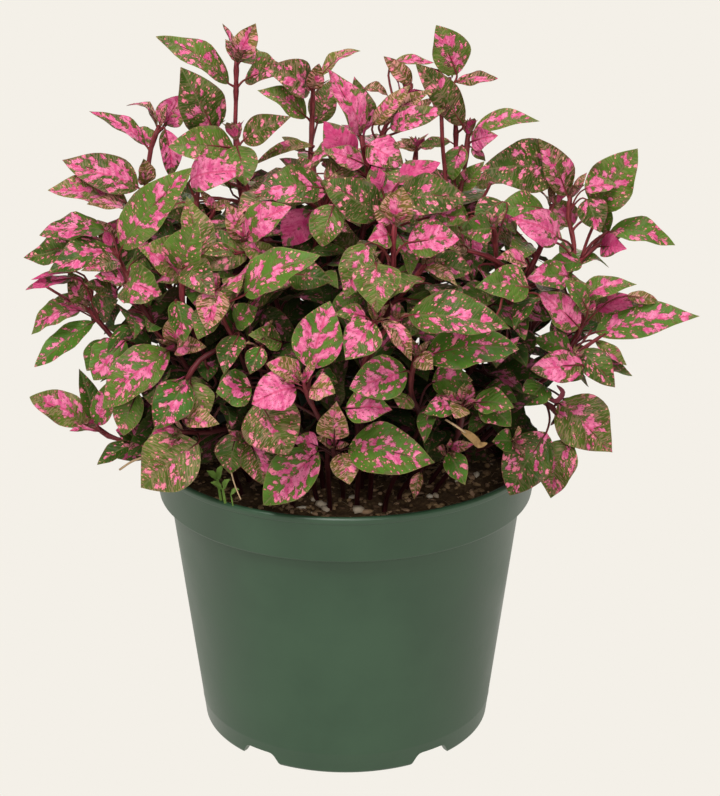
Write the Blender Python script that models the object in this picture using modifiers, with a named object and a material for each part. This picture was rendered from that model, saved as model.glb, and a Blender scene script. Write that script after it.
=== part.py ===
"""A potted polka-dot plant: a bushy mound of splashed leaves in a ribbed nursery pot."""

import math
import random
from collections import namedtuple

import bmesh
import bpy
from mathutils import Matrix, Vector
from mathutils.bvhtree import BVHTree

MM = 0.001

# Pot, in mm
POT_HEIGHT = 118.0
BODY_FOOT_RADIUS = 57.5
BODY_SLOPE = 0.127
BAND_BOTTOM = 98.5
BAND_RADIUS = 74.0
RIM_RADIUS = 77.6
LIP_INNER_RADIUS = 75.4
POT_WALL = 1.3
FLOOR_UNDERSIDE = 5.5
FLOOR_TOP = 7.2
POT_SIDES = 40
DRAIN_SLOTS = 5
SLOT_HEIGHT = 5.0
SLOT_WIDTH_LOW = 20.0
SLOT_WIDTH_HIGH = 12.5
SLOT_DEPTH = 12.0

# Soil, in mm
SOIL_TOP = 105.0
SOIL_CLEARANCE = 0.3
SOIL_ROUGHNESS = 1.2
SOIL_RINGS = (26.0, 50.0)
SOIL_SIDES = 24
HOLE_RADIUS = 3.0
HOLE_DEPTH = 14.0

# Stems and leaves, in mm
STEM_FOOT_RADIUS = 2.1
STEM_TIP_RADIUS = 1.25
STEM_STEP = 40.0
PETIOLE_RADIUS = 0.75
PETIOLE_ROOT = 0.45
FOOT_SINK = 2.0
SHARPEST_BEND = 0.25
BLADE_THICKNESS = 1.2
BLADE_FOLD = 0.24
CLEARANCE = 0.55
OWN_CLEARANCE = 0.15
LARGE_LEAF = 26.0
SMALL_LEAF = 14.5

# Eye point from which the front of the plant is laid out
EYE = Vector((5.7, -900.0, 483.4))

# Mound as seen from the eye point: height on the middle plane, then half width and front depth
MOUND = (
    (90, 60, -70), (100, 70, -76), (115, 82, -84), (130, 92, -92), (150, 100, -97),
    (170, 102, -92), (190, 96, -80), (205, 82, -66), (220, 62, -50), (235, 34, -33),
    (250, 0, -18), (265, 0, -6), (285, 0, 5),
)

BOX_FACES = ((0, 1, 3, 2), (4, 6, 7, 5), (0, 4, 5, 1), (2, 3, 7, 6), (0, 2, 6, 4), (1, 5, 7, 3))

Shoot = namedtuple("Shoot", "stem name stops")
Leaf = namedtuple("Leaf", "shoot base_x base_z tip_x tip_z depth deeper width tilt arch pink kind")
Blade = namedtuple("Blade", "shoot foot base tip normal width arch pink kind")

# Shoots of each leafy stem, from the growing tip down: across, up and depth of each stop
SHOOTS = [Shoot(*row) for row in (
    ("tall_left", "tall", ((-40.5, 271, -8), (-41, 255, -8), (-41.5, 240, -12), (-40, 220, -20))),
    ("tall_left", "collar", ((-41, 241, -24), (-38, 224, -28), (-33, 205, -34))),
    ("top_middle", "twin", ((-12, 259, -12), (-12.5, 245, -14), (-13, 232, -18), (-9, 214, -24))),
    ("top_middle", "magenta", ((6, 242, -24), (8.5, 230, -25), (9.5, 216, -28), (6, 200, -32))),
    ("top_right_middle", "bronze", ((22, 258, -8), (18, 250, -12), (14, 242, -16), (16, 225, -20))),
    ("top_back", "olive", ((27, 236.5, 14), (26, 226, 12), (22, 205, 6))),
    ("top_right", "crown", ((39, 264.5, -2), (41.5, 250, -4), (42, 235, -6), (41, 215, -10))),
    ("top_right", "post", ((36.4, 250, -16), (37, 238, -16), (38.6, 220, -18), (38, 205, -20))),
    ("top_right", "elbow", ((46.5, 243, -4), (46, 234, -6), (44, 220, -12))),
    ("right_upper", "bud", ((86, 218.5, -16), (85.6, 210, -17), (88, 195, -22), (80, 178, -28))),
    ("right_upper", "flank", ((98, 199.5, -12), (92, 194, -17), (84, 184, -24))),
    ("right_upper", "inner", ((79, 215, -14), (76, 200, -22), (70, 185, -28))),
    ("upper_left", "crest", ((-70, 246, -6), (-73.5, 237, -8), (-75.5, 224, -12), (-79, 210, -20),
                             (-76, 195, -26))),
    ("upper_left", "shield", ((-52, 243, -20), (-54, 230, -24), (-57, 212, -32), (-54, 196, -36))),
    ("far_left", "fan", ((-90, 198, -24), (-86, 190, -28), (-83, 182, -34), (-76, 168, -38))),
    ("far_left_low", "fork", ((-100, 173, -14), (-94, 165, -18), (-87, 157, -24), (-76, 150, -30))),
    ("low_left", "creeper", ((-99, 124, -18), (-94, 119.5, -18), (-84, 117, -22), (-70, 119, -32))),
    ("low_left", "saddle", ((-67, 156.5, -50), (-62, 148, -48), (-55, 138, -44))),
    ("left_front", "leaning", ((-63, 187, -62), (-63, 174, -60), (-58, 160, -52))),
    ("left_fork", "riser", ((-50, 180, -72), (-48, 170, -70), (-43.5, 161, -66), (-35, 155, -60))),
    ("left_fork", "side", ((-62.5, 143.5, -74), (-57, 151.5, -70), (-50, 156, -68),
                           (-44.5, 160.5, -66))),
    ("left_low", "apron", ((-65, 121, -74), (-56, 121, -66), (-44, 122, -56))),
    ("left_low", "under", ((-41, 118, -64), (-38, 113, -56))),
    ("front_left", "rosette", ((-16.5, 142, -92), (-15, 137, -90), (-11.5, 129, -84), (-8, 122, -76))),
    ("front_left_back", "oval", ((-33, 158, -74), (-30, 148, -70), (-24, 136, -62))),
    ("front_low", "star", ((-5, 115, -74), (-4, 109, -66))),
    ("front_middle", "knot", ((28, 153, -84), (26, 146, -82), (26, 137, -78), (30, 126, -68))),
    ("front_top", "bend", ((12, 168, -92), (10, 160, -90), (7, 149, -84), (4, 138, -74))),
    ("front_top", "long", ((18, 168, -88), (13, 160, -86), (9, 150, -82))),
    ("middle", "bract", ((19, 207, -70), (18.5, 199, -70), (18.5, 190, -68), (16, 176, -60))),
    ("middle", "thick", ((31, 191, -64), (24, 181, -62), (16, 170, -58))),
    ("middle_back", "speckle", ((17, 211, -50), (16, 200, -48), (12, 184, -42))),
    ("middle_left", "wide", ((-6, 220, -44), (-10, 206, -42), (-13, 188, -38))),
    ("middle_left", "low_arch", ((-38, 201, -54), (-34, 190, -50), (-27, 176, -44))),
    ("right_inner", "twin_rods", ((47, 196.5, -56), (56, 193.5, -52), (64, 186, -46), (62, 168, -40))),
    ("right_inner", "nook", ((57, 206, -46), (58, 196, -44), (58, 182, -40))),
    ("right_side", "stripe", ((92.5, 170, -28), (91, 163, -32), (86, 154, -34), (76, 144, -28))),
    ("right_low", "cuff", ((88, 152, -42), (83, 147, -42), (72, 138, -38))),
    ("right_low", "drape", ((84, 129, -36), (78, 134, -40), (68, 132, -44))),
    ("front_right", "pair", ((45.5, 133.5, -80), (46, 127, -74), (43, 117, -64))),
    ("front_right", "stub", ((41, 113.5, -66), (39, 112, -60))),
    ("right_low", "button", ((66, 117, -58), (62, 118, -54))),
)]

# Leaves laid one by one: shoot, foot of the blade, tip, depth of the foot, how much deeper the
# tip lies, width, tilt of the face to the sky, arch, pink share of the face, kind
LEAVES = [Leaf(*row) for row in (
    ("tall", -43.5, 262, -70.5, 280, -8, -4, 12.5, 38, .14, .35, "leaf"),
    ("tall", -37.5, 263.5, -20.5, 267, -8, -14, 10.5, 30, .12, .40, "leaf"),
    ("tall", -39, 270.5, -26, 271, -6, 10, 10, 45, .10, .15, "leaf"),
    ("tall", -41, 272.5, -45.5, 285, -6, 2, 7, 68, .06, .30, "young"),
    ("tall", -40, 272, -33, 285, -8, -3, 9.5, 5, .06, .60, "young"),
    ("collar", -41, 239.5, -20, 249.5, -22, -8, 11, 20, .12, .28, "leaf"),
    ("collar", -42, 237, -67, 237.5, -24, -10, 15, 15, .14, .14, "leaf"),
    ("collar", -41, 238, -38, 222, -26, -10, 13, 10, .14, .10, "leaf"),
    ("crest", -73.5, 238.5, -96.5, 251.5, -7, -2, 9.5, 50, .08, .75, "leaf"),
    ("crest", -71, 245, -82.5, 253.5, -4, 3, 8, 72, .30, .60, "young"),
    ("crest", -67.5, 246, -62, 257.5, -6, -4, 11.5, 10, .10, .88, "leaf"),
    ("crest", -69.5, 245, -66.5, 254.5, -9, -2, 5, 50, .06, .30, "young"),
    ("crest", -73, 238, -79.5, 245, -5, 4, 8, 30, .10, .70, "leaf"),
    ("crest", -68, 244.5, -66.5, 225.5, -12, -6, 9, 20, .12, .85, "leaf"),
    ("crest", -77, 222.5, -107.5, 232.5, -12, -4, 17.5, 34, .06, .60, "leaf"),
    ("crest", -76, 221, -76.5, 233, -16, -2, 8, 30, .08, .40, "young"),
    ("crest", -83, 215, -113.5, 220.5, -14, -6, 15.5, 42, .10, .50, "leaf"),
    ("crest", -84, 213, -99, 215, -20, -4, 9, 58, .08, .50, "young"),
    ("shield", -49.5, 243.5, -61.5, 268.5, -20, -5, 18.5, 14, .10, .26, "leaf"),
    ("shield", -59, 224.5, -38.5, 228, -34, -12, 13.5, 12, .12, .96, "leaf"),
    ("fan", -92, 204.5, -117.5, 202.5, -22, -6, 13, 44, .12, .50, "leaf"),
    ("fan", -92, 197.5, -124, 193.5, -20, 2, 16, 34, .12, .12, "leaf"),
    ("fan", -89, 195, -115, 187, -28, -12, 14, 35, .14, .50, "leaf"),
    ("fork", -104, 188, -123.5, 184.2, -12, -2, 6.5, 50, .04, .90, "under"),
    ("fork", -105, 185.5, -125, 180, -15, -6, 7, 50, .06, .85, "under"),
    ("fan", -90, 198, -95, 209, -22, -3, 8, 20, .08, .40, "young"),
    ("fan", -88, 199, -84, 211, -18, 6, 10, 30, .10, .90, "under"),
    ("fan", -86, 197.5, -58, 229.5, -38, -8, 16, 20, .10, .36, "leaf"),
    ("fan", -85, 183.5, -97, 186, -36, -8, 8, 40, .10, .80, "leaf"),
    ("fan", -87, 192, -103, 188, -32, -6, 9, 25, .12, .40, "leaf"),
    ("fan", -84, 184.5, -71, 178.5, -40, -18, 16, 0, .16, .55, "leaf"),
    ("fan", -88, 178, -101, 183, -32, -6, 9, 40, .10, .30, "leaf"),
    ("fork", -101, 174, -107, 188, -12, -4, 10, 12, .10, .35, "leaf"),
    ("fork", -105, 173, -113, 177, -10, -4, 8, 20, .18, .90, "leaf"),
    ("fork", -103, 172, -122.5, 162, -12, -4, 11, 35, .28, .55, "leaf"),
    ("fork", -98, 167.5, -122, 148.5, -14, -10, 11, 34, .02, .14, "leaf"),
    ("fork", -97, 170.5, -88, 176.5, -16, -10, 11, 10, .10, .05, "leaf"),
    ("fork", -86, 159.5, -99, 143, -34, -6, 15, 22, .12, .60, "leaf"),
    ("fork", -95, 160, -101.5, 147, -24, 2, 8.5, 30, .06, .05, "leaf"),
    ("creeper", -103, 124.5, -124.5, 136, -18, -4, 14, 20, .10, .62, "leaf"),
    ("creeper", -98.5, 121.5, -109.5, 121.5, -20, -3, 6, 58, .08, .80, "leaf"),
    ("creeper", -98, 124, -92.5, 143, -20, -2, 9, 15, .08, .60, "leaf"),
    ("creeper", -99.5, 126, -104.5, 148, -16, 3, 8.5, 25, .08, .10, "leaf"),
    ("creeper", -84, 116, -99, 107, -26, -6, 8.5, 40, .12, .10, "leaf"),
    ("creeper", -81, 118, -91, 122, -24, -2, 8, 30, .08, .60, "leaf"),
    ("saddle", -82, 138, -88, 119.5, -26, -6, 12, 18, .12, .05, "leaf"),
    ("saddle", -69, 155.5, -96, 131, -52, -10, 18, 24, .18, .52, "leaf"),
    ("saddle", -66, 158, -64, 171.5, -50, -6, 10, 15, .10, .50, "young"),
    ("saddle", -66, 156, -53.5, 157, -52, -8, 9, 30, .12, .40, "young"),
    ("leaning", -63.5, 188.5, -56, 208.5, -62, -4, 15, 14, .10, .08, "leaf"),
    ("leaning", -61, 190, -50, 177.5, -64, -12, 14, 5, .14, .30, "leaf"),
    ("leaning", -65, 188, -80, 198, -60, -8, 11, 30, .12, .35, "leaf"),
    ("leaning", -66, 176, -63, 159, -62, -8, 10, 20, .12, .40, "leaf"),
    ("riser", -50, 180.5, -54, 164, -73, -10, 12, 4, .14, .45, "young"),
    ("riser", -50, 176, -58, 159, -66, -6, 13, 20, .14, .05, "leaf"),
    ("riser", -39, 178.5, -9.5, 194.5, -76, -6, 16, 30, .14, .42, "leaf"),
    ("riser", -43, 167, -34, 173, -66, -6, 10, 20, .12, .05, "leaf"),
    ("side", -62, 143.5, -75.5, 122, -74, -10, 15, 10, .12, .35, "leaf"),
    ("side", -61, 142, -56, 126, -70, -4, 12, 15, .12, .05, "leaf"),
    ("apron", -63.5, 127, -49.5, 124.5, -77, -6, 9, 30, .10, .30, "young"),
    ("apron", -58.5, 116.5, -82, 97, -75, 2, 23, 10, .12, .12, "leaf"),
    ("apron", -66, 122, -79, 117, -62, -4, 8, 30, .10, .90, "under"),
    ("under", -38, 117, -33, 98.5, -67, -6, 14, 15, .14, .30, "leaf"),
    ("under", -43, 121, -46, 103, -62, -4, 13, 20, .14, .08, "leaf"),
    ("rosette", -34, 134.5, -22.5, 111.5, -84, -10, 22, 4, .12, .14, "leaf"),
    ("rosette", -19.5, 140, -37, 133, -92, -4, 15, 15, .22, .97, "leaf"),
    ("rosette", -17.5, 143.5, -31, 150, -88, -4, 10, 30, .14, .55, "young"),
    ("rosette", -15, 141.5, -4, 137.5, -92, -6, 11, 25, .14, .50, "young"),
    ("rosette", -14, 148, -6, 176, -88, 6, 18, 5, .10, .72, "leaf"),
    ("rosette", -12, 145, -3, 142, -84, 2, 7, 30, .10, .05, "leaf"),
    ("oval", -37, 140, -51, 138, -80, -4, 14, 10, .16, .30, "leaf"),
    ("oval", -33, 157, -37.5, 145.5, -80, -6, 8, 10, .10, .10, "leaf"),
    ("oval", -25, 159, -38, 162, -70, -8, 10, 30, .10, .02, "leaf"),
    ("star", 1, 114, 35.5, 108, -76, -8, 20, 18, .14, .36, "leaf"),
    ("star", -4.5, 118, -3.5, 134.5, -78, -2, 12, 5, .16, .35, "young"),
    ("star", -2, 112, 1.5, 98.5, -76, -8, 11, 5, .12, .35, "young"),
    ("star", -11, 113, -33, 89.5, -73, -5, 18, 15, .12, .45, "leaf"),
    ("star", -11, 115, -21.5, 117.5, -76, -4, 9, 20, .16, .92, "leaf"),
    ("knot", 0, 131, 18.5, 130.5, -84, -4, 13, 12, .14, .65, "leaf"),
    ("knot", 24, 147, 1.5, 139.5, -84, -8, 16, 5, .14, .62, "leaf"),
    ("knot", 31, 153, 68, 156, -84, -6, 18, 28, .14, .20, "leaf"),
    ("knot", 28.5, 153, 34.5, 147.5, -88, -6, 8, 5, .12, .50, "young"),
    ("knot", 26, 141, 21, 131, -74, -6, 10, 10, .14, .02, "leaf"),
    ("knot", 34, 142, 50, 143, -72, -4, 12, 10, .12, .35, "leaf"),
    ("bend", 11, 167, 0, 151.5, -95, -8, 14, 10, .14, .66, "leaf"),
    ("bend", 14, 167.5, 26, 151, -95, -4, 9, 42, .12, .50, "young"),
    ("bend", 8, 169.5, -4.5, 170.5, -92, -4, 7.5, 20, .12, .45, "leaf"),
    ("bend", 12, 191, 12.5, 171, -86, -12, 17, 2, .26, .25, "leaf"),
    ("bend", 22, 166, 29, 163, -82, -2, 8, 10, .12, .00, "leaf"),
    ("long", 24.5, 170, 64.5, 164.5, -90, -8, 19, 34, .14, .40, "leaf"),
    ("bract", 19, 208, 22, 222, -70, -4, 12, 5, .10, .50, "young"),
    ("bract", 17.5, 207.5, 10, 215, -70, -6, 8, 20, .10, .50, "young"),
    ("bract", 24, 199.5, 44, 201, -70, -6, 14, 12, .12, .78, "leaf"),
    ("bract", 18, 204, 8.5, 200.5, -72, -6, 9.5, 10, .14, .75, "leaf"),
    ("bract", 8, 199, 0, 177, -72, -6, 13, 15, .12, .36, "leaf"),
    ("thick", 31, 189.5, 43.5, 182, -68, -6, 6, 40, .10, .40, "young"),
    ("thick", 31, 191, 49, 188, -60, -4, 12, 20, .12, .00, "leaf"),
    ("speckle", 20, 216, 47, 217, -54, -4, 16, 22, .20, .24, "leaf"),
    ("speckle", 13, 210.5, -9, 224.5, -54, -4, 16, 18, .12, .03, "leaf"),
    ("speckle", 14, 221, 10, 230, -42, -2, 7, 10, .10, .90, "under"),
    ("speckle", 20, 223, 36.5, 231.5, -40, 4, 9, 30, .10, .90, "under"),
    ("wide", -7, 221, -35, 219, -46, -8, 15, 20, .20, .40, "leaf"),
    ("wide", -4, 215, -9, 198, -54, -4, 13, 15, .12, .20, "leaf"),
    ("wide", -13, 212, -24, 198, -40, -4, 13, 10, .12, .92, "under"),
    ("low_arch", -38, 201.5, -20.5, 214, -55, -6, 13, 25, .14, .82, "leaf"),
    ("low_arch", -40, 201, -45, 215, -50, -2, 9, 15, .10, .45, "young"),
    ("low_arch", -34, 188, -20, 182, -62, -6, 11, 20, .12, .05, "leaf"),
    ("low_arch", -22, 187, -5, 184, -66, -4, 12, 15, .16, .05, "leaf"),
    ("twin", -13, 260, -30.5, 268, -14, -10, 14.5, 24, .18, .50, "leaf"),
    ("twin", -13, 249, -33, 259.5, -14, -4, 11, 34, .10, .30, "leaf"),
    ("twin", -9.5, 264.5, 6, 274.5, -10, 4, 8, 58, .14, .45, "leaf"),
    ("twin", -12, 260, -9.5, 270, -14, -4, 7, 10, .08, .10, "young"),
    ("twin", -10.5, 246.5, -4.5, 264, 6, 4, 11, 10, .10, .20, "leaf"),
    ("magenta", 5.5, 241, -6.5, 268, -24, -4, 12, 34, .08, .92, "leaf"),
    ("magenta", 7, 243.5, 3.5, 265, -24, -2, 12, 8, .08, .62, "leaf"),
    ("magenta", 7, 260, 16.5, 257, -18, 2, 5, 40, .28, .15, "young"),
    ("magenta", 2, 231, -8, 247.5, -28, -2, 13, 10, .10, .93, "under"),
    ("magenta", -2, 240, -13.5, 231, -24, -4, 6, 30, .10, .80, "leaf"),
    ("magenta", 7, 231, -8, 236, -32, -4, 9, 20, .12, .78, "leaf"),
    ("magenta", 8.5, 238, 22.5, 230, -32, -6, 13, 15, .14, .78, "leaf"),
    ("magenta", 12, 231, 19, 213, -36, -8, 13, 18, .12, .30, "leaf"),
    ("bronze", 25, 262, 14.5, 272.5, -8, -2, 6.5, 10, .06, .05, "young"),
    ("bronze", 18.5, 270, 33.5, 270, -6, 2, 5, 40, .10, .80, "leaf"),
    ("bronze", 13, 246, 33, 260, -18, -4, 7, 28, .10, .30, "young"),
    ("bronze", 24, 245.5, 33.5, 256.5, -12, -2, 6, 30, .10, .05, "young"),
    ("bronze", 17, 245, 38, 252, -24, -8, 9.5, 22, .12, .62, "leaf"),
    ("bronze", 10.5, 246, 24.5, 261.5, -22, -3, 6.5, 20, .10, .45, "young"),
    ("olive", 27, 236, 16.5, 238.5, 12, 2, 5, 45, .10, .00, "young"),
    ("olive", 28, 237.5, 34, 237.5, 12, 2, 4, 30, .06, .10, "young"),
    ("crown", 42, 265.5, 34, 284.3, -2, -2, 15, 14, .06, .50, "leaf"),
    ("crown", 41, 264, 57.5, 264, -3, -6, 7, 46, .06, .35, "leaf"),
    ("crown", 44.5, 246, 26.5, 269.7, -10, -8, 11.5, 15, .08, .22, "leaf"),
    ("crown", 40, 239.5, 28, 238, 2, 4, 5.5, 40, .08, .35, "leaf"),
    ("elbow", 48.5, 243.5, 73.7, 247.5, -4, -4, 10.5, 46, .12, .34, "leaf"),
    ("elbow", 47.5, 240.5, 58, 242, -6, -12, 9, 10, .08, .95, "leaf"),
    ("elbow", 46, 240, 53.5, 231.8, -8, -4, 4.5, 30, .02, .55, "leaf"),
    ("elbow", 44, 238, 41, 224, -12, -6, 10, 20, .12, .40, "leaf"),
    ("bud", 86, 218.5, 73, 241, -16, -4, 12.5, 24, .10, .42, "leaf"),
    ("inner", 80, 229, 51, 228.5, -12, -12, 20.5, 4, .12, .22, "leaf"),
    ("bud", 96, 213, 111, 237, -16, -4, 18.5, 8, .08, .26, "leaf"),
    ("bud", 92, 217, 98, 203.5, -20, -6, 12, 12, .12, .40, "leaf"),
    ("bud", 91.5, 221, 103.5, 222.5, -18, -2, 7.5, 36, .10, .66, "leaf"),
    ("bud", 87, 206, 81, 217, -10, 4, 10, 10, .10, .50, "leaf"),
    ("flank", 101.5, 204, 127, 198.5, -12, -6, 12, 38, .20, .34, "leaf"),
    ("flank", 98, 197.5, 108.5, 197, -14, -14, 9.5, 10, .08, .97, "under"),
    ("flank", 99.5, 203, 101.5, 216, -10, 0, 7, 30, .08, .05, "leaf"),
    ("bud", 82, 201.5, 63.3, 209.5, -34, -8, 14, 12, .12, .92, "leaf"),
    ("flank", 91, 191.5, 77, 189, -24, -8, 9, 26, .10, .30, "leaf"),
    ("flank", 89, 190, 102, 189.3, -18, 2, 5.5, 62, .28, .00, "leaf"),
    ("nook", 56, 205.5, 44, 203.5, -54, -6, 11, 8, .12, .25, "leaf"),
    ("twin_rods", 71, 181.5, 50, 181.5, -54, -8, 14, 12, .14, .20, "leaf"),
    ("twin_rods", 70, 191, 58, 193, -46, -6, 8, 40, .12, .60, "young"),
    ("inner", 86, 186, 70, 185, -36, -8, 12, 16, .14, .70, "leaf"),
    ("inner", 76, 213, 58, 213, -32, -6, 13, 30, .14, .02, "leaf"),
    ("nook", 60, 216, 50, 207, -38, -4, 10, 20, .12, .05, "leaf"),
    ("stripe", 91, 165, 75, 179.5, -36, -6, 13, 20, .10, .78, "leaf"),
    ("stripe", 94, 172, 84.5, 184.5, -32, -8, 9, 30, .10, .08, "leaf"),
    ("stripe", 97.5, 163, 138, 169.7, -26, -4, 18, 38, .02, .50, "leaf"),
    ("stripe", 90, 177, 113, 182.7, -24, -6, 10.5, 35, .10, .40, "leaf"),
    ("stripe", 109, 178, 123, 175, -12, 0, 6.5, 36, .12, .10, "young"),
    ("stripe", 97, 173, 117.5, 177, -18, -4, 8.5, 28, .08, .90, "under"),
    ("stripe", 93, 170, 97, 178, -30, -4, 8, 20, .10, .50, "young"),
    ("cuff", 93, 149.5, 72.5, 147.5, -46, -6, 12.5, 8, .12, .80, "leaf"),
    ("cuff", 87, 149, 93, 143.5, -42, -6, 9, 12, .12, .25, "leaf"),
    ("cuff", 92, 155.5, 106, 140, -38, -6, 11.5, 14, .15, .12, "leaf"),
    ("stripe", 97.5, 159.5, 110.2, 149.3, -32, -4, 6.5, 40, .05, .60, "leaf"),
    ("cuff", 88, 155, 73, 160, -36, -2, 10, 20, .12, .10, "leaf"),
    ("drape", 84, 133.5, 106, 112.3, -36, -6, 22, 10, .12, .30, "leaf"),
    ("drape", 88.5, 118, 82, 92.5, -42, -5, 16.5, 18, .12, .40, "leaf"),
    ("drape", 79.5, 121, 65.5, 93.8, -52, -6, 19, 6, .12, .32, "leaf"),
    ("drape", 78, 141, 71, 132, -40, -6, 12, 10, .14, .02, "leaf"),
    ("pair", 42.5, 133, 31, 129, -82, -6, 8.5, 18, .14, .38, "leaf"),
    ("pair", 50.5, 133.5, 66.5, 131.5, -80, -4, 11, 30, .14, .22, "leaf"),
    ("pair", 53, 133, 65.5, 123.5, -77, -6, 12, 20, .14, .05, "leaf"),
    ("pair", 46, 134.5, 49.5, 142, -78, 2, 7, 10, .08, .70, "young"),
    ("pair", 43, 135.5, 35.5, 136.8, -77, -2, 5, 30, .10, .80, "leaf"),
    ("pair", 46, 132, 43, 127, -84, -6, 8, 5, .10, .10, "young"),
    ("stub", 41, 112.5, 47.7, 98.3, -68, -6, 9, 8, .12, .15, "leaf"),
    ("stub", 30, 104, 27.5, 92, -66, -2, 5, 20, .10, .30, "young"),
    ("button", 66, 117, 58, 117, -60, -4, 9, 8, .12, .10, "leaf"),
)]

# Shoots of the sides and the back, by rule: row, how many, first and last bearing from the
# right-hand side, distance of the growing tip from the middle line, its height
BACK_ROWS = (
    ("low", 8, 4, 176, 84, 142),
    ("mid", 7, 10, 170, 70, 180),
    ("high", 6, 12, 168, 42, 212),
)
BACK_STEMS = 6
OUTER_FILL_LEAVES = 154

# Spots where the background shows between the leaves: across, up and radius as seen
SIGHT_GAPS = (
    (-83, 219.5, 5), (-68, 226.5, 3), (-49, 218, 5), (-94, 213, 3.5), (-25, 235, 7), (-16, 243, 5),
    (20, 249, 3), (30, 236, 7), (50, 231, 4), (59, 217, 4), (93, 206, 3), (79, 196, 4), (81, 126, 6),
    (76, 128, 4), (72.5, 142.5, 3), (79, 164, 3.5), (88, 139, 3), (-95, 187.5, 2.5), (-83, 174, 2.5),
    (-92, 148.5, 2), (-96, 125, 3.5), (67, 252, 8), (-75, 256, 8), (0, 288, 12), (99, 191, 6),
    (76, 220.5, 4), (-112, 208, 4),
)
MOUND_MIDDLE = Vector((0.0, 0.0, 150.0))
MOUND_REACH = Vector((112.0, 116.0, 76.0))
BACK_NODE_SPACING = 16.0
BACK_LEAF_LENGTH = (27, 37)
FILL_LEAF_LENGTH = (23, 33)
NODE_SPACING = 21.0
PETIOLE_LENGTH = 7.0
STEM_SEED = 4
LEAF_SEED = 11
TRIES = 70


def seen(across, up, depth):
    """Point at a depth on the sight line through a spot of the middle plane."""
    spot = Vector((across, 0.0, up))
    return EYE + (spot - EYE) * ((depth - EYE.y) / -EYE.y)


def as_seen(point):
    """Across and up of a point as it shows against the middle plane."""
    spot = EYE + (point - EYE) * (-EYE.y / (point.y - EYE.y))
    return spot.x, spot.z


def mound_at(up):
    """Half width and front depth of the mound at a seen height."""
    if up <= MOUND[0][0]:
        return MOUND[0][1], MOUND[0][2]
    for low, high in zip(MOUND, MOUND[1:]):
        if up <= high[0]:
            share = (up - low[0]) / (high[0] - low[0])
            return tuple(low[i] + (high[i] - low[i]) * share for i in (1, 2))
    return 0.0, 0.0


def behind_front(point, margin):
    """True where a point is inside the mound's outline and behind its front leaves."""
    across, up = as_seen(point)
    half_width, front = mound_at(up)
    if abs(across) > half_width or up < 112:
        return False
    bulge = math.sqrt(max(0.0, 1.0 - (across / 132.0) ** 2))
    return point.y > front * bulge + margin


def in_sight_gap(blade):
    """True where a blade would close one of the sight gaps."""
    for u in (0.1, 0.35, 0.6, 0.85, 1.0):
        for v in (-0.8, 0.0, 0.8):
            across, up = as_seen(blade_point(blade, u, v))
            if any(math.hypot(across - x, up - z) < reach for x, z, reach in SIGHT_GAPS):
                return True
    return False


def smooth_path(stops, step):
    """Smooth curve through the stops, sampled about every step."""
    count = len(stops)
    slopes = []
    for i in range(count):
        before = stops[max(0, i - 1)]
        after = stops[min(count - 1, i + 1)]
        reach = (stops[i] - before).length + (after - stops[i]).length
        slopes.append((after - before) / reach)
    samples = [stops[0].copy()]
    for i in range(count - 1):
        start, end = stops[i], stops[i + 1]
        reach = (end - start).length
        pieces = max(1, round(reach / step))
        for k in range(1, pieces + 1):
            t = k / pieces
            t2, t3 = t * t, t * t * t
            samples.append(
                start * (2 * t3 - 3 * t2 + 1) + end * (3 * t2 - 2 * t3)
                + slopes[i] * reach * (t3 - 2 * t2 + t) + slopes[i + 1] * reach * (t3 - t2))
    return samples


def spots_down(path, step):
    """Spots down a path from its tip, with the way up and the step just taken."""
    for i in range(len(path) - 1, 0, -1):
        upper, lower = path[i], path[i - 1]
        reach = (upper - lower).length
        ahead = (upper - lower) / reach
        pieces = max(1, round(reach / step))
        for k in range(pieces):
            spot = upper if k == 0 else upper.lerp(lower, k / pieces)
            yield spot, ahead, reach / pieces


def tube_mesh(samples, radii, sides):
    """Closed tube along the samples."""
    points, faces = [], []
    helper = Vector((1, 0, 0))
    for i, spot in enumerate(samples):
        ahead = samples[min(i + 1, len(samples) - 1)] - samples[max(i - 1, 0)]
        ahead.normalize()
        helper = (helper - ahead * helper.dot(ahead)).normalized()
        third = ahead.cross(helper)
        for k in range(sides):
            turn = 2 * math.pi * k / sides
            points.append(spot + (helper * math.cos(turn) + third * math.sin(turn)) * radii[i])
    for i in range(len(samples) - 1):
        for k in range(sides):
            a, b = i * sides + k, i * sides + (k + 1) % sides
            faces.append((a, b, b + sides, a + sides))
    faces.append(tuple(reversed(range(sides))))
    last = (len(samples) - 1) * sides
    faces.append(tuple(range(last, last + sides)))
    return points, faces


def outline_share(u):
    """Half width of a blade along its length, as a share of the greatest."""
    return (max(0.0, u) ** 0.62) * (max(0.0, 1.0 - u) ** 1.02) / 0.3352


def blade_axes(blade):
    """Length, direction and cross direction of a blade."""
    along = blade.tip - blade.base
    length = along.length
    along = along / length
    return length, along, blade.normal.cross(along)


def blade_point(blade, u, v):
    """Point of the upper face: u from foot to tip, v from -1 to 1 across."""
    length, along, across = blade_axes(blade)
    half = 0.5 * blade.width * outline_share(u)
    lift = blade.arch * length * math.sin(math.pi * u) + BLADE_FOLD * half * abs(v)
    return blade.base + along * (length * u) + across * (half * v) + blade.normal * lift


def blade_stations(length, kind):
    """Shares of the length at which a blade gets a cross section."""
    return (0.16, 0.42, 0.72) if length > LARGE_LEAF and kind != "fill" else (0.26, 0.62)


def is_plain(blade, length):
    """Small leaves and those set by rule get a flat face and a keel."""
    return blade.kind == "fill" or length < SMALL_LEAF


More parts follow.
